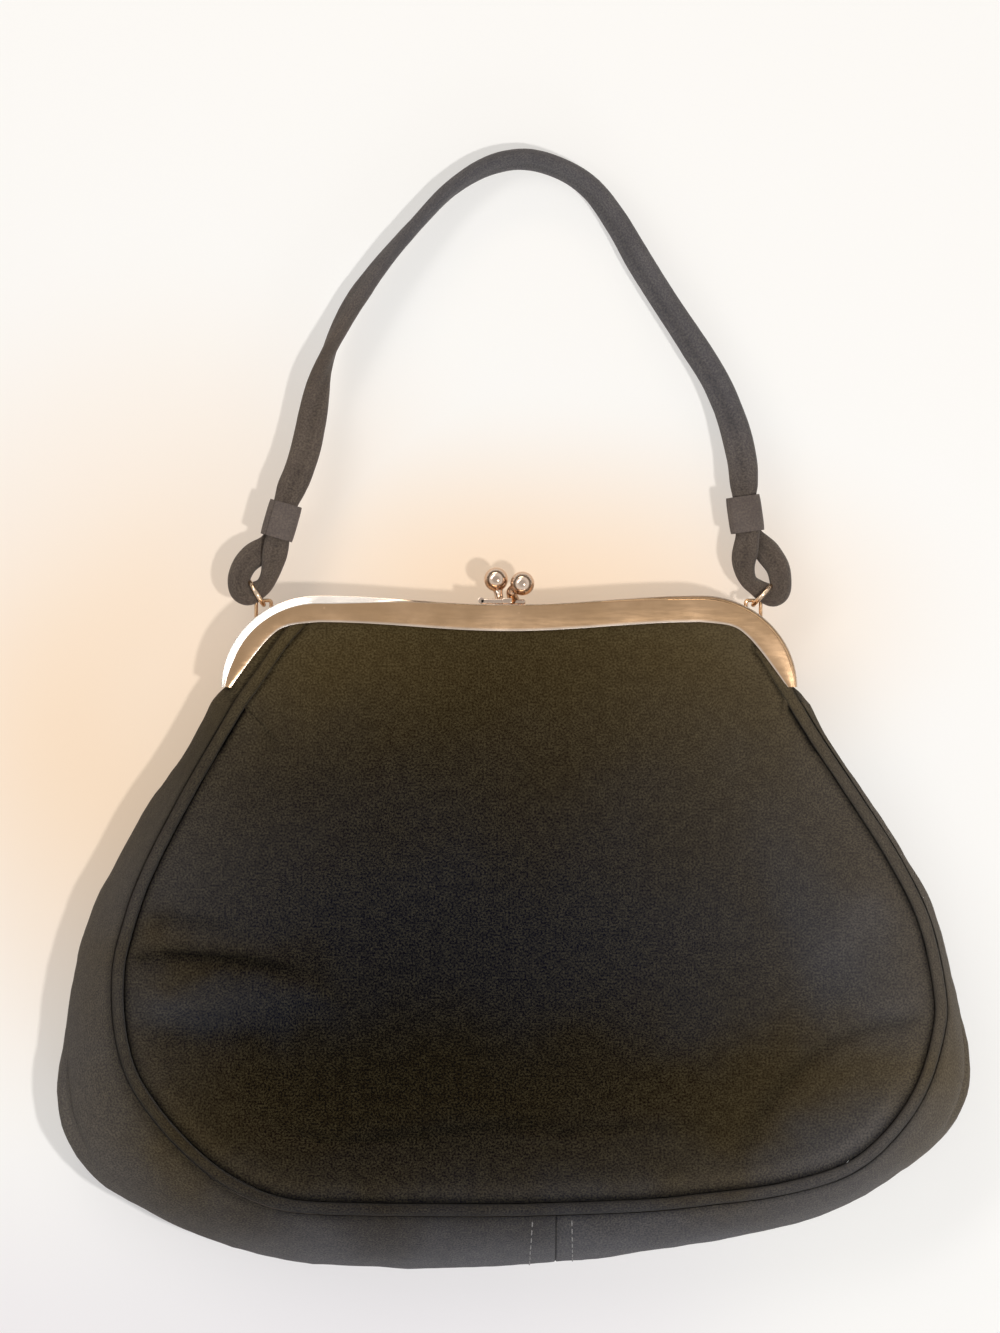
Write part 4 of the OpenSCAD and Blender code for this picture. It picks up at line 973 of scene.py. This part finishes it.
# Painted light: a pale band inside the bottom seam, where the turned edge catches the light
seam_shade += 0.32 * bell(reach - 4.6, 2.2) * smooth((-100.0 - front_points[:, 1]) / 40.0)
front_shade = np.clip(1 + np.where(folded < 0, 0.17, 0.09) * folded, 0.4, 1.4) * seam_shade * welt_shade
lay_cloth(made, panel_run(front_points), np.tile(front_shade, 2))
follow_front(made, "front_panel")

# The gusset
# Two strips of the cloth go round the sides and the bottom, sewn together under the bag with a row of
# stitches each side of the seam. They bulge over the slipped back seam and fold over at both lower corners.
FRONT_ANGLES = 25
GUSSET_ANGLES = np.concatenate([np.linspace(90.0, 0.0, FRONT_ANGLES), np.linspace(-6.0, -90.0, 15)])
LEAST_BULGE = BEAD_REACH + CLOTH_T + SEAM_GAP
# Each lower corner's fold: its side, its lowest and highest place, its angle and its depth
CORNER_FOLDS = ((-1, -160.0, -112.0, 30.0, 1.7), (1, -148.0, -96.0, 28.0, 1.5))
JOIN_TURN_IN = 0.14
OUTER_TURN = {-1: [(-99.6, 2.6), (-97.6, 4.9), (-95.6, 6.7)], 1: [(97.7, 2.6), (95.9, 4.9), (93.8, 6.7)]}
TONGUE_STEPS = 40
TONGUE_INSIDE = ((91.5, 5.0), (90.0, 10.0))
outline_out = outward(outline)
push_out = np.maximum(0.0, LEAST_BULGE - ((outline - front_seam) * seam_out[1]).sum(1))
gusset_run = lengths(outline)
gusset_cloth = cloth_finish("gusset_cloth", fuzz=0.12)


def gusset_side(depth, beside, angles):
    """The gusset's face at every station, set in by a depth: stations by angles by x, y, z."""
    peak = outline + seam_out[1] * push_out[:, None] - outline_out * depth
    front_foot, back_foot = [seam_line[side] + seam_out[side] * beside for side in (1, -1)]
    top = (seam_height[1] + CLOTH_T / 2 - depth)[:, None]
    low = (seam_height[-1] - CLOTH_T / 2 + depth)[:, None]
    mid = between(FRAME_MID_Z, BULGE_Z, drop)[:, None]
    a = np.radians(angles)
    foot = np.where((angles >= 0)[None, :, None], front_foot[:, None, :], back_foot[:, None, :])
    flat = between(foot, peak[:, None, :], np.cos(a)[None, :, None])
    z = between(mid, np.where(np.sin(a) >= 0, top, low), np.abs(np.sin(a)))
    return np.concatenate([flat, z[..., None]], axis=2)


gusset_inner = gusset_side(CLOTH_T, BEAD_REACH, GUSSET_ANGLES)
gusset_outer = gusset_side(0.0, BEAD_REACH, GUSSET_ANGLES)
flat = gusset_outer.reshape(-1, 3)
push = 0.7 * uneven(flat * [1.0, 1.0, 1.6], 24.0, 5.0) + 0.22 * uneven(flat * [1.0, 1.0, 1.4], 8.0, 6.0)
ends = np.sin(np.radians(np.clip(90 - np.abs(GUSSET_ANGLES), 0, 90))) ** 0.7
push = push.reshape(gusset_outer.shape[:2]) * ends
for side, low, high, angle, size in CORNER_FOLDS:
    here = smooth((outline[:, 1] - low) / 18.0) * smooth((high - outline[:, 1]) / 18.0)
    crease = 0.4 * bell(GUSSET_ANGLES - angle + 13.0, 6.5) - bell(GUSSET_ANGLES - angle, 6.5)
    push += np.outer(size * here * (np.sign(outline[:, 0]) == side), crease)
a = np.radians(GUSSET_ANGLES)[None, :, None]
away = np.dstack([outline_out[:, None, :] * np.cos(a), np.broadcast_to(np.sin(a), push.shape + (1,))])
gusset_outer += away * push[..., None]


def cloth_grid(along, across):
    """The measure along and across the cloth at each point of its rings."""
    grid = np.meshgrid(along, across, indexing="ij")
    return np.stack([*grid, np.zeros_like(grid[0])], axis=-1).reshape(-1, 3)


def strip_piece(name, outer, inner, stations, finish, turned_in=0.0):
    """A strip of cloth through stations, with its thickness, and turned in at some of them."""
    below = np.minimum(stations.astype(int), len(outer) - 2)
    part = (stations - below)[:, None, None]
    outer, inner = [between(face[below], face[below + 1], part) for face in (outer, inner)]
    outer = between(outer, inner, np.reshape(0.45 * turned_in, (-1, 1, 1)))
    made = loft(name, np.concatenate([outer, inner[:, ::-1]], axis=1), finish)
    across = lengths(outer[len(outer) // 2])
    along = np.interp(stations, np.arange(len(gusset_run)), gusset_run)
    return made, cloth_grid(along, np.append(across, across[::-1]))


for word, first, last, inside in (("left", 0, JOIN_STATION, -JOIN_TURN_IN),
                                  ("right", JOIN_STATION, SEAM_STEPS, JOIN_TURN_IN)):
    stations = np.sort(np.append(np.arange(first, last + 1.0), JOIN_STATION + inside))
    turned_in = stations == JOIN_STATION
    made, run = strip_piece(
        f"gusset_{word}_cloth", gusset_outer, gusset_inner, stations, gusset_cloth, turned_in)
    # Painted shade along both seams, painted light that grows towards the bottom, and painted shade at the
    # turned-in join
    gusset_seam_shade = 1 - 0.35 * bell(90 - np.abs(GUSSET_ANGLES), 5.0)
    lit_below = 1 + 0.30 * smooth(-np.interp(stations, np.arange(len(outline)), outline[:, 1]) / 40.0)
    lay_cloth(made, run, np.outer(lit_below * (1 - 0.7 * turned_in), np.append(gusset_seam_shade, gusset_seam_shade[::-1])))
    follow_front(made, f"gusset_{word}")


def tongue(name, side, front):
    """One of the gusset's ends above the hinges, from its last station to the channel of a half."""
    half = slice(0, FRONT_ANGLES) if front else slice(FRONT_ANGLES - 1, None)
    station, sign = 0 if side < 0 else SEAM_STEPS, 1 if front else -1
    a, first = np.radians(np.abs(GUSSET_ANGLES[half])), gusset_outer[station, half]
    foot, peak = first[[0, -1] if front else [-1, 0], :2]
    channel = (frame_outer + unit(frame_inner - frame_outer) * (RIM_T + 0.3) + [FRAME_X, LEG_Y])[::-side]
    channel = channel[2:72:12] if front else channel[2:16:4]
    outer_edge = evened(through(np.vstack([peak, OUTER_TURN[side], channel]), 6), TONGUE_STEPS)
    inner_edge = np.array([foot] + [(side * x, y) for x, y in TONGUE_INSIDE])
    if front:
        top = LEFT_SEAM_TOP[::-1] if side < 0 else RIGHT_SEAM_TOP
        inner_edge = through([front_seam[station]] + top, 6)
        way = unit(np.gradient(inner_edge, axis=0))
        inner_edge += side * np.column_stack([way[:, 1], -way[:, 0]]) * BEAD_REACH * 0.9
        inner_edge[0] = foot
    rows, under = [], []
    for v, (e, s) in enumerate(zip(outer_edge, evened(inner_edge, TONGUE_STEPS))):
        in_channel = smooth((e[1] - 5.2) / 7.0)
        e_z = FRAME_MID_Z + sign * between(0.0, 6.2, smooth((e[1] - 3.0) / 8.0))
        flat = e + (s - e) * (1 - np.cos(a))[:, None]
        if front:
            panel_z = front_level(flat) + 0.25
            height = between(between(e_z, panel_z[0], np.sin(a)), np.maximum(panel_z, e_z), in_channel)
            if in_channel > 0.3:
                height[16:] = np.minimum(height[16:], FRAME_MID_Z + HALF_T - PLATE_T - 0.1)
        else:
            height = between(e_z, FRAME_MID_Z - CHANNEL_Z - 0.3, np.sin(a))
        row = np.column_stack([flat, height])
        gap = first - row if v == 0 else gap
        rows.append(row + gap * (1 - smooth(v / 12.0)))
        lean = between(a, np.pi / 2, in_channel)
        inwards = np.column_stack([np.outer(np.cos(lean), unit(e - s)), sign * np.sin(lean)])
        under.append(rows[-1] - between(0.9, 0.3, in_channel) * inwards)
    # The first row is tucked under the end of the strip
    outer = np.array([between(rows[0], under[0], 0.4) - [0.0, 1.6, 0.0]] + rows)
    inner = np.array([under[0] - [0.0, 1.6, 0.0]] + under)
    made = loft(name, np.concatenate([outer, inner[:, ::-1]], axis=1), gusset_cloth)
    seam = outer[:, :1] if front else outer[:, -1:]
    shade = 1 - 0.55 * bell(np.linalg.norm((outer - seam)[..., :2], axis=2) - 0.3, 1.0)
    run = cloth_grid(np.arange(len(outer)) * 1.1, np.linspace(0.0, 20.0, outer.shape[1] * 2))
    lay_cloth(made, run, np.concatenate([shade, shade[:, ::-1]], axis=1))
    return made


for side, word in WORDS.items():
    follow_front(tongue(f"gusset_{word}_front_tongue", side, True))
    tell(tongue(f"gusset_{word}_back_tongue", side, False), body="bag")

STITCH_L = 2.0
STITCH_PITCH = 2.9
STITCH_R = 0.21
STITCH_STEPS, STITCH_SIDES = 7, 8
FIRST_STITCH = 0.6
# Each row's distance along the gusset from the bottom seam
STITCH_ROWS = {"left": -10.2, "right": 6.9}
THREAD_DARK, THREAD_PALE = (0.17, 0.162, 0.158), (0.33, 0.32, 0.315)
thread_finish, tree, shader = new_finish("grey_thread")
where = add(tree, "TexCoord", {}).outputs["Object"]
ply = {"Vector": where, "Scale": 900.0, "Distortion": 1.5}
ply = add(tree, "TexWave", ply, bands_direction="DIAGONAL").outputs["Fac"]
surface(tree, shader, {"Base Color": mixed(tree, ply, THREAD_DARK, THREAD_PALE),
                       "Roughness": ramp(tree, ply, 0.0, 1.0, 0.75, 0.6)}, (ply, 0.5, 0.00005))


def stitch_row(name, line, away):
    """A row of short stitches lying on the cloth along a line, as one piece."""
    run, at = lengths(line), FIRST_STITCH
    points, faces = [], []
    t = np.linspace(0.0, 1.0, STITCH_STEPS)
    rise = STITCH_R * (2.1 * np.sin(np.pi * t) ** 0.6 - 1.1)
    size = STITCH_STEPS * STITCH_SIDES
    stitch = quads(STITCH_STEPS, STITCH_SIDES)
    stitch += [tuple(range(STITCH_SIDES))[::-1], tuple(range(size - STITCH_SIDES, size))]
    while at + STITCH_L < run[-1]:
        lift = unit(looked_up(at + t * STITCH_L, run, away))
        place = looked_up(at + t * STITCH_L, run, line) + lift * rise[:, None]
        side = np.cross(unit(np.gradient(place, axis=0)), lift)
        faces += [tuple(len(points) + i for i in face) for face in stitch]
        for p, u, v in zip(place, side, lift):
            for a in np.linspace(0.0, 2 * np.pi, STITCH_SIDES, endpoint=False):
                points.append(p + STITCH_R * (u * math.cos(a) + v * math.sin(a)))
        at += STITCH_PITCH
    return make_piece(name, points, faces, thread_finish)


for word, offset in STITCH_ROWS.items():
    station = int(np.argmin(np.abs(gusset_run - gusset_run[JOIN_STATION] - offset)))
    line, next_line = gusset_outer[station, 1:-1], gusset_outer[station + 1, 1:-1]
    away = np.cross(np.gradient(line, axis=0), next_line - line)
    away *= np.sign((away * (line - gusset_inner[station, 1:-1])).sum(1))[:, None]
    tell(stitch_row(f"topstitch_{word}", line, away), body="bag")

# The piping
# A cord wrapped in a bias strip of the cloth is sewn into both seams. It stands round at the bottom and
# lies flattened on the upper left, where the front one runs on over the cloth to the frame.
PIPING_ANGLES = np.radians(np.linspace(0.0, 180.0, 13))
PIPING_FLAT = {"left": 0.40, "right": 0.50}
ON_CLOTH_Z, UNDER_FRAME_Z = 0.7, 5.9
# Painted shade across the bead: darker at its edges beside the seam, full on its top
PIPING_SHADE = [0.45, 0.55, 0.75, 0.92, 1.0, 1.02, 1.02, 1.02, 1.0, 0.92, 0.75, 0.55, 0.45, 0.45, 0.45]
piping_cloth = cloth_finish("piping_cloth", tilt=45.0, pitch=0.5, fuzz=0.1)


def piping_piece(name, side, line, level, flatness):
    """The bead along a seam: round above, and flat against the lining."""
    wave = uneven(np.column_stack([line, level]), 9.0, 8.0 + side)
    c, s = np.cos(PIPING_ANGLES), np.sin(PIPING_ANGLES)
    across = np.outer(PIPING_W / 2 * (1 + 0.05 * wave), [*(np.sign(c) * np.abs(c) ** 0.85), -1.0, 1.0])
    high = np.outer(PIPING_H * flatness * (1 + 0.06 * wave), s ** 0.8)
    rise = np.hstack([high, np.full((len(line), 2), -CLOTH_T / 2)])
    flat = line[:, None] + outward(line)[:, None] * across[..., None]
    made = loft(name, np.dstack([flat, level[:, None] + side * rise]), piping_cloth)
    run = cloth_grid(lengths(line), np.linspace(0.0, 11.0, len(PIPING_SHADE)))
    lay_cloth(made, run, np.tile(PIPING_SHADE, len(line)))
    return made


left_top = through(LEFT_SEAM_TOP + [front_seam[0]], 8)[:-1]
right_top = through([front_seam[-1]] + RIGHT_SEAM_TOP, 8)[1:]
line = evened(np.vstack([left_top, front_seam, right_top]), 300)
nearest = np.array([np.argmin(np.linalg.norm(front_seam - p, axis=1)) for p in line])
on_cloth = smooth(np.clip((line[:, 1] - front_seam[0, 1]) / 4.0, 0.0, 1.0))
level = between(seam_height[1][nearest], front_level(line) - CLOTH_T / 2 + ON_CLOTH_Z, on_cloth)
edge_x, edge_y = np.abs(frame_inner[:110, 0])[::-1], frame_inner[:110, 1][::-1]
inner_y = np.interp(np.abs(line[:, 0] - FRAME_X), edge_x, edge_y) + LEG_Y
covered = smooth((line[:, 1] - inner_y + 1.2) / 1.2)
sunk = np.minimum(level, between(level, FRAME_MID_Z + UNDER_FRAME_Z, covered))
level = np.where(covered > 0, sunk, level)
flattest = np.where(line[:, 0] < 0, PIPING_FLAT["left"], PIPING_FLAT["right"])
fullness = between(flattest, 1.0, smooth((BAR_TOP_Y - line[:, 1]) / BAG_H / 0.75))
front_bead = piping_piece("piping_front_bead", 1, line, level, fullness * between(1.0, 0.2, covered))
follow_front(front_bead, "piping_front")
back_bead = piping_piece("piping_back_bead", -1, back_seam, seam_height[-1], 1.0)
tell(back_bead, "piping_back", "bag")

# The lining
# Brown satin, cut as the outer cloth is and sewn in with it, hangs a little inside it. It is seen when
# the frame is open.
LINING_GAP = 0.5
LINING_T = 0.5
LINING_TOP = CLOTH_T + LINING_GAP
LINING_SHARES = [1.0, 0.985, 0.96, 0.93, *np.linspace(0.89, 0.04, 22)]
LINING_ANGLES = np.linspace(90.0, -90.0, 19)
SATIN_DEEP, SATIN_PALE, SATIN_THREAD = (0.062, 0.044, 0.034), (0.115, 0.083, 0.064), (0.17, 0.125, 0.10)
satin, tree, shader = new_finish("lining_satin")
where = add(tree, "TexCoord", {}).outputs["Object"]
creased = noisy(tree, where, 42.0, 4.0, Distortion=0.6)
threads = {"Vector": where, "Scale": 1300.0, "Distortion": 2.0}
threads = add(tree, "TexWave", threads, bands_direction="X").outputs["Fac"]
# Painted shade and light: the tone follows the crease relief, deeper in its hollows and paler on its ridges
tone = mixed(tree, ramp(tree, creased, 0.35, 0.7), SATIN_DEEP, SATIN_PALE)
tone = mixed(tree, ramp(tree, threads, 0.2, 0.9, 0.0, 0.25), tone, SATIN_THREAD)
inputs = {"Base Color": tone, "Roughness": ramp(tree, creased, 0.3, 0.7, 0.36, 0.50), "Anisotropic": 0.4}
surface(tree, shader, inputs, (creased, 0.5, 0.0009), (threads, 0.2, 0.00006))

points = ringed(front_rim, LINING_SHARES)
level = front_level(points) - LINING_TOP
made = closed_panel("lining_front_satin", points, level, LINING_T, len(front_rim), satin)
follow_front(made, "lining_front")
points = ringed(back_rim, LINING_SHARES)
level = back_level(points) + LINING_TOP + LINING_T
made = closed_panel("lining_back_satin", points, level, LINING_T, len(back_rim), satin)
tell(made, "lining_back", "bag")
outer, inner = [gusset_side(depth, SEAM_GAP, LINING_ANGLES) for depth in (LINING_TOP, LINING_TOP + LINING_T)]
made, _ = strip_piece("lining_gusset_satin", outer, inner, np.arange(SEAM_STEPS + 1.0), satin)
follow_front(made, "lining_gusset")

# The strap
# A tube of the black cloth, turned right side out and pressed flat, with a shallow groove along it. It
# twists as it goes over and each end turns back through its ring.
STRAP_W = 10.0
STRAP_T = 5.2
STRAP_TOP_Y = 373.5 / 2 - STRAP_W * 0.33
# Each row has the place across and up, the height, the half width and the half thickness as shares, and the
# twist in degrees
STRAP_ROUTE = [
    (-0.890, 0.195, 0.848, 0.40, 0.33, 0), (-0.905, 0.166, 0.848, 0.40, 0.33, 0),
    (-0.924, 0.130, 0.842, 0.40, 0.34, 0), (-0.951, 0.110, 0.84, 0.36, 0.40, 0),
    (-1.000, 0.092, 0.89, 0.29, 0.56, 0), (-1.045, 0.067, 0.98, 0.25, 0.66, 0),
    (-1.069, 0.034, 1.00, 0.22, 0.62, 0), (-1.064, 0.006, 1.00, 0.20, 0.57, 0),
    (-1.034, -0.004, 1.00, 0.19, 0.54, 0), (-1.002, 0.005, 1.00, 0.19, 0.54, 0),
    (-0.970, 0.018, 1.00, 0.20, 0.56, 0), (-0.948, 0.042, 1.02, 0.24, 0.62, 0),
    (-0.934, 0.072, 1.08, 0.32, 0.54, 0), (-0.926, 0.093, 1.12, 0.36, 0.45, 0),
    (-0.917, 0.120, 1.15, 0.40, 0.35, 0), (-0.905, 0.160, 1.152, 0.40, 0.33, 0),
    (-0.886, 0.202, 1.152, 0.40, 0.34, 0), (-0.862, 0.240, 1.12, 0.48, 0.46, 0),
    (-0.836, 0.275, 1.08, 0.50, 0.50, 2), (-0.806, 0.330, 1.02, 0.50, 0.50, 6),
    (-0.782, 0.396, 0.94, 0.50, 0.50, 16), (-0.752, 0.488, 0.86, 0.50, 0.50, 55),
    (-0.724, 0.540, 0.82, 0.50, 0.50, 82), (-0.684, 0.595, 0.78, 0.50, 0.50, 104),
    (-0.613, 0.671, 0.71, 0.50, 0.50, 118), (-0.499, 0.763, 0.62, 0.50, 0.50, 106),
    (-0.361, 0.855, 0.53, 0.50, 0.50, 92), (-0.234, 0.931, 0.46, 0.50, 0.50, 84),
    (-0.086, 0.984, 0.41, 0.50, 0.50, 70), (0.063, 1.000, 0.40, 0.50, 0.50, 62),
    (0.209, 0.977, 0.42, 0.50, 0.50, 60), (0.327, 0.931, 0.46, 0.50, 0.50, 55),
    (0.425, 0.855, 0.53, 0.50, 0.50, 46), (0.517, 0.763, 0.62, 0.50, 0.50, 38),
    (0.616, 0.671, 0.71, 0.50, 0.50, 36), (0.719, 0.580, 0.79, 0.50, 0.50, 32),
    (0.817, 0.488, 0.87, 0.50, 0.50, 25), (0.883, 0.396, 0.95, 0.50, 0.50, 17),
    (0.920, 0.310, 1.04, 0.50, 0.50, 9), (0.928, 0.255, 1.11, 0.48, 0.46, 3),
    (0.930, 0.220, 1.152, 0.40, 0.34, 0), (0.936, 0.182, 1.152, 0.40, 0.33, 0),
    (0.943, 0.138, 1.15, 0.40, 0.35, 0), (0.936, 0.104, 1.10, 0.38, 0.42, 0),
    (0.928, 0.075, 1.06, 0.34, 0.52, 0), (0.933, 0.049, 1.02, 0.27, 0.60, 0),
    (0.950, 0.027, 1.00, 0.21, 0.58, 0), (0.980, 0.013, 1.00, 0.19, 0.55, 0),
    (1.010, 0.002, 1.00, 0.19, 0.54, 0), (1.044, -0.007, 1.00, 0.19, 0.54, 0),
    (1.069, 0.003, 1.00, 0.20, 0.57, 0), (1.074, 0.026, 1.00, 0.21, 0.62, 0),
    (1.063, 0.059, 0.98, 0.24, 0.66, 0), (1.031, 0.088, 0.92, 0.27, 0.60, 0),
    (0.998, 0.111, 0.86, 0.32, 0.46, 0), (0.962, 0.129, 0.84, 0.38, 0.36, 0),
    (0.944, 0.152, 0.848, 0.40, 0.33, 0), (0.936, 0.185, 0.848, 0.40, 0.33, 0),
    (0.929, 0.218, 0.848, 0.40, 0.33, 0)]
STRAP_SIDES = 28
STRAP_TINT = np.array((0.117, 0.092, 0.074))
STRAP_BLUE = np.array((0.112, 0.104, 0.106))
STRAP_GROOVE = 0.12
LOOP_SPREAD = 1.2
LOOP_THINNER = 0.25
# The loops begin below this share of the strap's height, and their outer limbs beyond this share across
LOOP_BELOW, LOOP_FADE = 0.135, 0.05
LIMB_FROM, LIMB_FADE = 0.95, 0.07
ring_mid_x = (ring_place(-1)[0] + ring_place(1)[0]) / 2
ring_mid_y = LEG_Y + ring_place(-1)[1]


def strap_place(x, y, z):
    """Places on the strap from shares of its way across and up, and of the rings' height."""
    return np.stack([FRAME_X + x * ring_mid_x, between(ring_mid_y, STRAP_TOP_Y, y), z * STAPLE_Z], axis=-1)


x, y, z, wide, thick, twist = through(STRAP_ROUTE, 6).T
line = strap_place(x, y, z)
run = lengths(line)
sway, swell = [uneven([(r, 0.0, 40.0 * k) for r in run], 11.0, 12.0) for k in (1, 2)]
ahead = unit(np.vstack([line[1:], line[-1:]]) - np.vstack([line[:1], line[:-1]]))
across = unit(np.cross([0.0, 0.0, 1.0], ahead))
up = np.cross(ahead, across)
turned = np.radians(twist + 3.0 * sway)[:, None]
wide_way = across * np.cos(turned) + up * np.sin(turned)
thick_way = up * np.cos(turned) - across * np.sin(turned)
in_loop = smooth((LOOP_BELOW - y) / LOOP_FADE)
outer_limb = smooth((np.abs(x) - LIMB_FROM) / LIMB_FADE)
half_w = wide * STRAP_W * (1 + 0.035 * swell) + LOOP_SPREAD * in_loop * between(0.6, 1.3, outer_limb)
half_t = thick * STRAP_T - LOOP_THINNER * in_loop
q = 2 * np.pi * (np.arange(STRAP_SIDES) + 0.5) / STRAP_SIDES
c, s = np.cos(q), np.sin(q)
oval_w = np.outer(half_w, np.sign(c) * np.abs(c) ** 0.85)
oval_t = np.outer(half_t, np.sign(s) * np.abs(s) ** 0.85 * (1 - STRAP_GROOVE * bell(c, 0.28)))
rings = line[:, None] + oval_w[..., None] * wide_way[:, None] + oval_t[..., None] * thick_way[:, None]
flat = rings.reshape(-1, 3)
bluish = smooth((flat[:, 1] - np.where(flat[:, 0] > 0, 55.0, 110.0)) / 55.0)[:, None]
strap = loft("strap_cloth_tube", rings, cloth_finish("strap_cloth", fuzz=0.25, pitch=0.42))
# Painted shade in the groove along the middle of each flat face
lay_cloth(strap, cloth_grid(run, np.linspace(0.0, 26.0, STRAP_SIDES)),
          np.tile(1.04 - 0.2 * bell(c, 0.22), len(run)), between(STRAP_TINT, STRAP_BLUE, bluish))
tell(strap, "handle_strap", "handle")

# The sleeves
# A short strip of smoother, greyer cloth is wrapped tight round each end of the strap, lapped over
# itself and sewn down, and closes the loop.
SLEEVE_W = 11.2
SLEEVE_D = 10.0
SLEEVE_L = 12.0
SLEEVE_T = 0.8
SLEEVE_STEPS, LAP_STEPS = 72, 9
LAP_RISE = 0.55
# Each sleeve's place on the strap, its lean and the step at which its cloth begins
SLEEVES = {-1: ((-0.902, 0.167), -16.0, 12), 1: ((0.936, 0.182), 8.0, 22)}
SLEEVE_TINT = (0.146, 0.118, 0.103)
sleeve_cloth = cloth_finish("sleeve_cloth", fuzz=0.2, pitch=0.36, contrast=0.35)


def sleeve_outline(inset):
    """The sleeve's rounded outline round the strap, from lap to lap."""
    w, d, r = SLEEVE_W / 2 - inset, SLEEVE_D / 2 - inset, STRAP_T / 2 - inset
    points = []
    for x, y, start in ((w - r, d - r, 0), (-w + r, d - r, 90), (-w + r, -d + r, 180), (w - r, -d + r, 270)):
        angles = np.radians(start + np.linspace(0, 90, 9))
        points += [(x + r * math.cos(a), y + r * math.sin(a)) for a in angles]
    return evened(np.array(points + points[:1]), SLEEVE_STEPS)


outer, inner = sleeve_outline(0.0), sleeve_outline(SLEEVE_T)
normal = unit(outer - inner)
lift = np.zeros(SLEEVE_STEPS + LAP_STEPS)
lift[SLEEVE_STEPS - 6:SLEEVE_STEPS] = np.linspace(0.0, LAP_RISE, 6)
lift[SLEEVE_STEPS:] = LAP_RISE
t = np.linspace(-0.5, 0.5, 9)
for side, (place, lean, begin) in SLEEVES.items():
    c, s = math.cos(math.radians(lean)), math.sin(math.radians(lean))
    sideways, up, along = np.array([(c, s, 0.0), (0.0, 0.0, 1.0), (-s, c, 0.0)])
    rings = []
    for k, raised in enumerate(lift):
        at = (begin + k) % SLEEVE_STEPS
        outside = outer[at] + normal[at] * (raised - 0.05) - np.outer(0.22 * (2 * t) ** 4, normal[at])
        inside = inner[at] + normal[at] * raised * 0.9
        flat = np.vstack([outside, np.tile(inside, (9, 1))])
        reach = np.append(t, t[::-1]) * SLEEVE_L
        rings.append(strap_place(*place, 1.0) + flat @ [sideways, up] + np.outer(reach, along))
    made = loft(f"sleeve_{WORDS[side]}", rings, sleeve_cloth)
    lay_cloth(made, cloth_grid(np.arange(len(rings)) * 0.5, np.linspace(0.0, 24.0, 18)), tint=SLEEVE_TINT)
    tell(made, f"handle_sleeve_{WORDS[side]}", "handle")
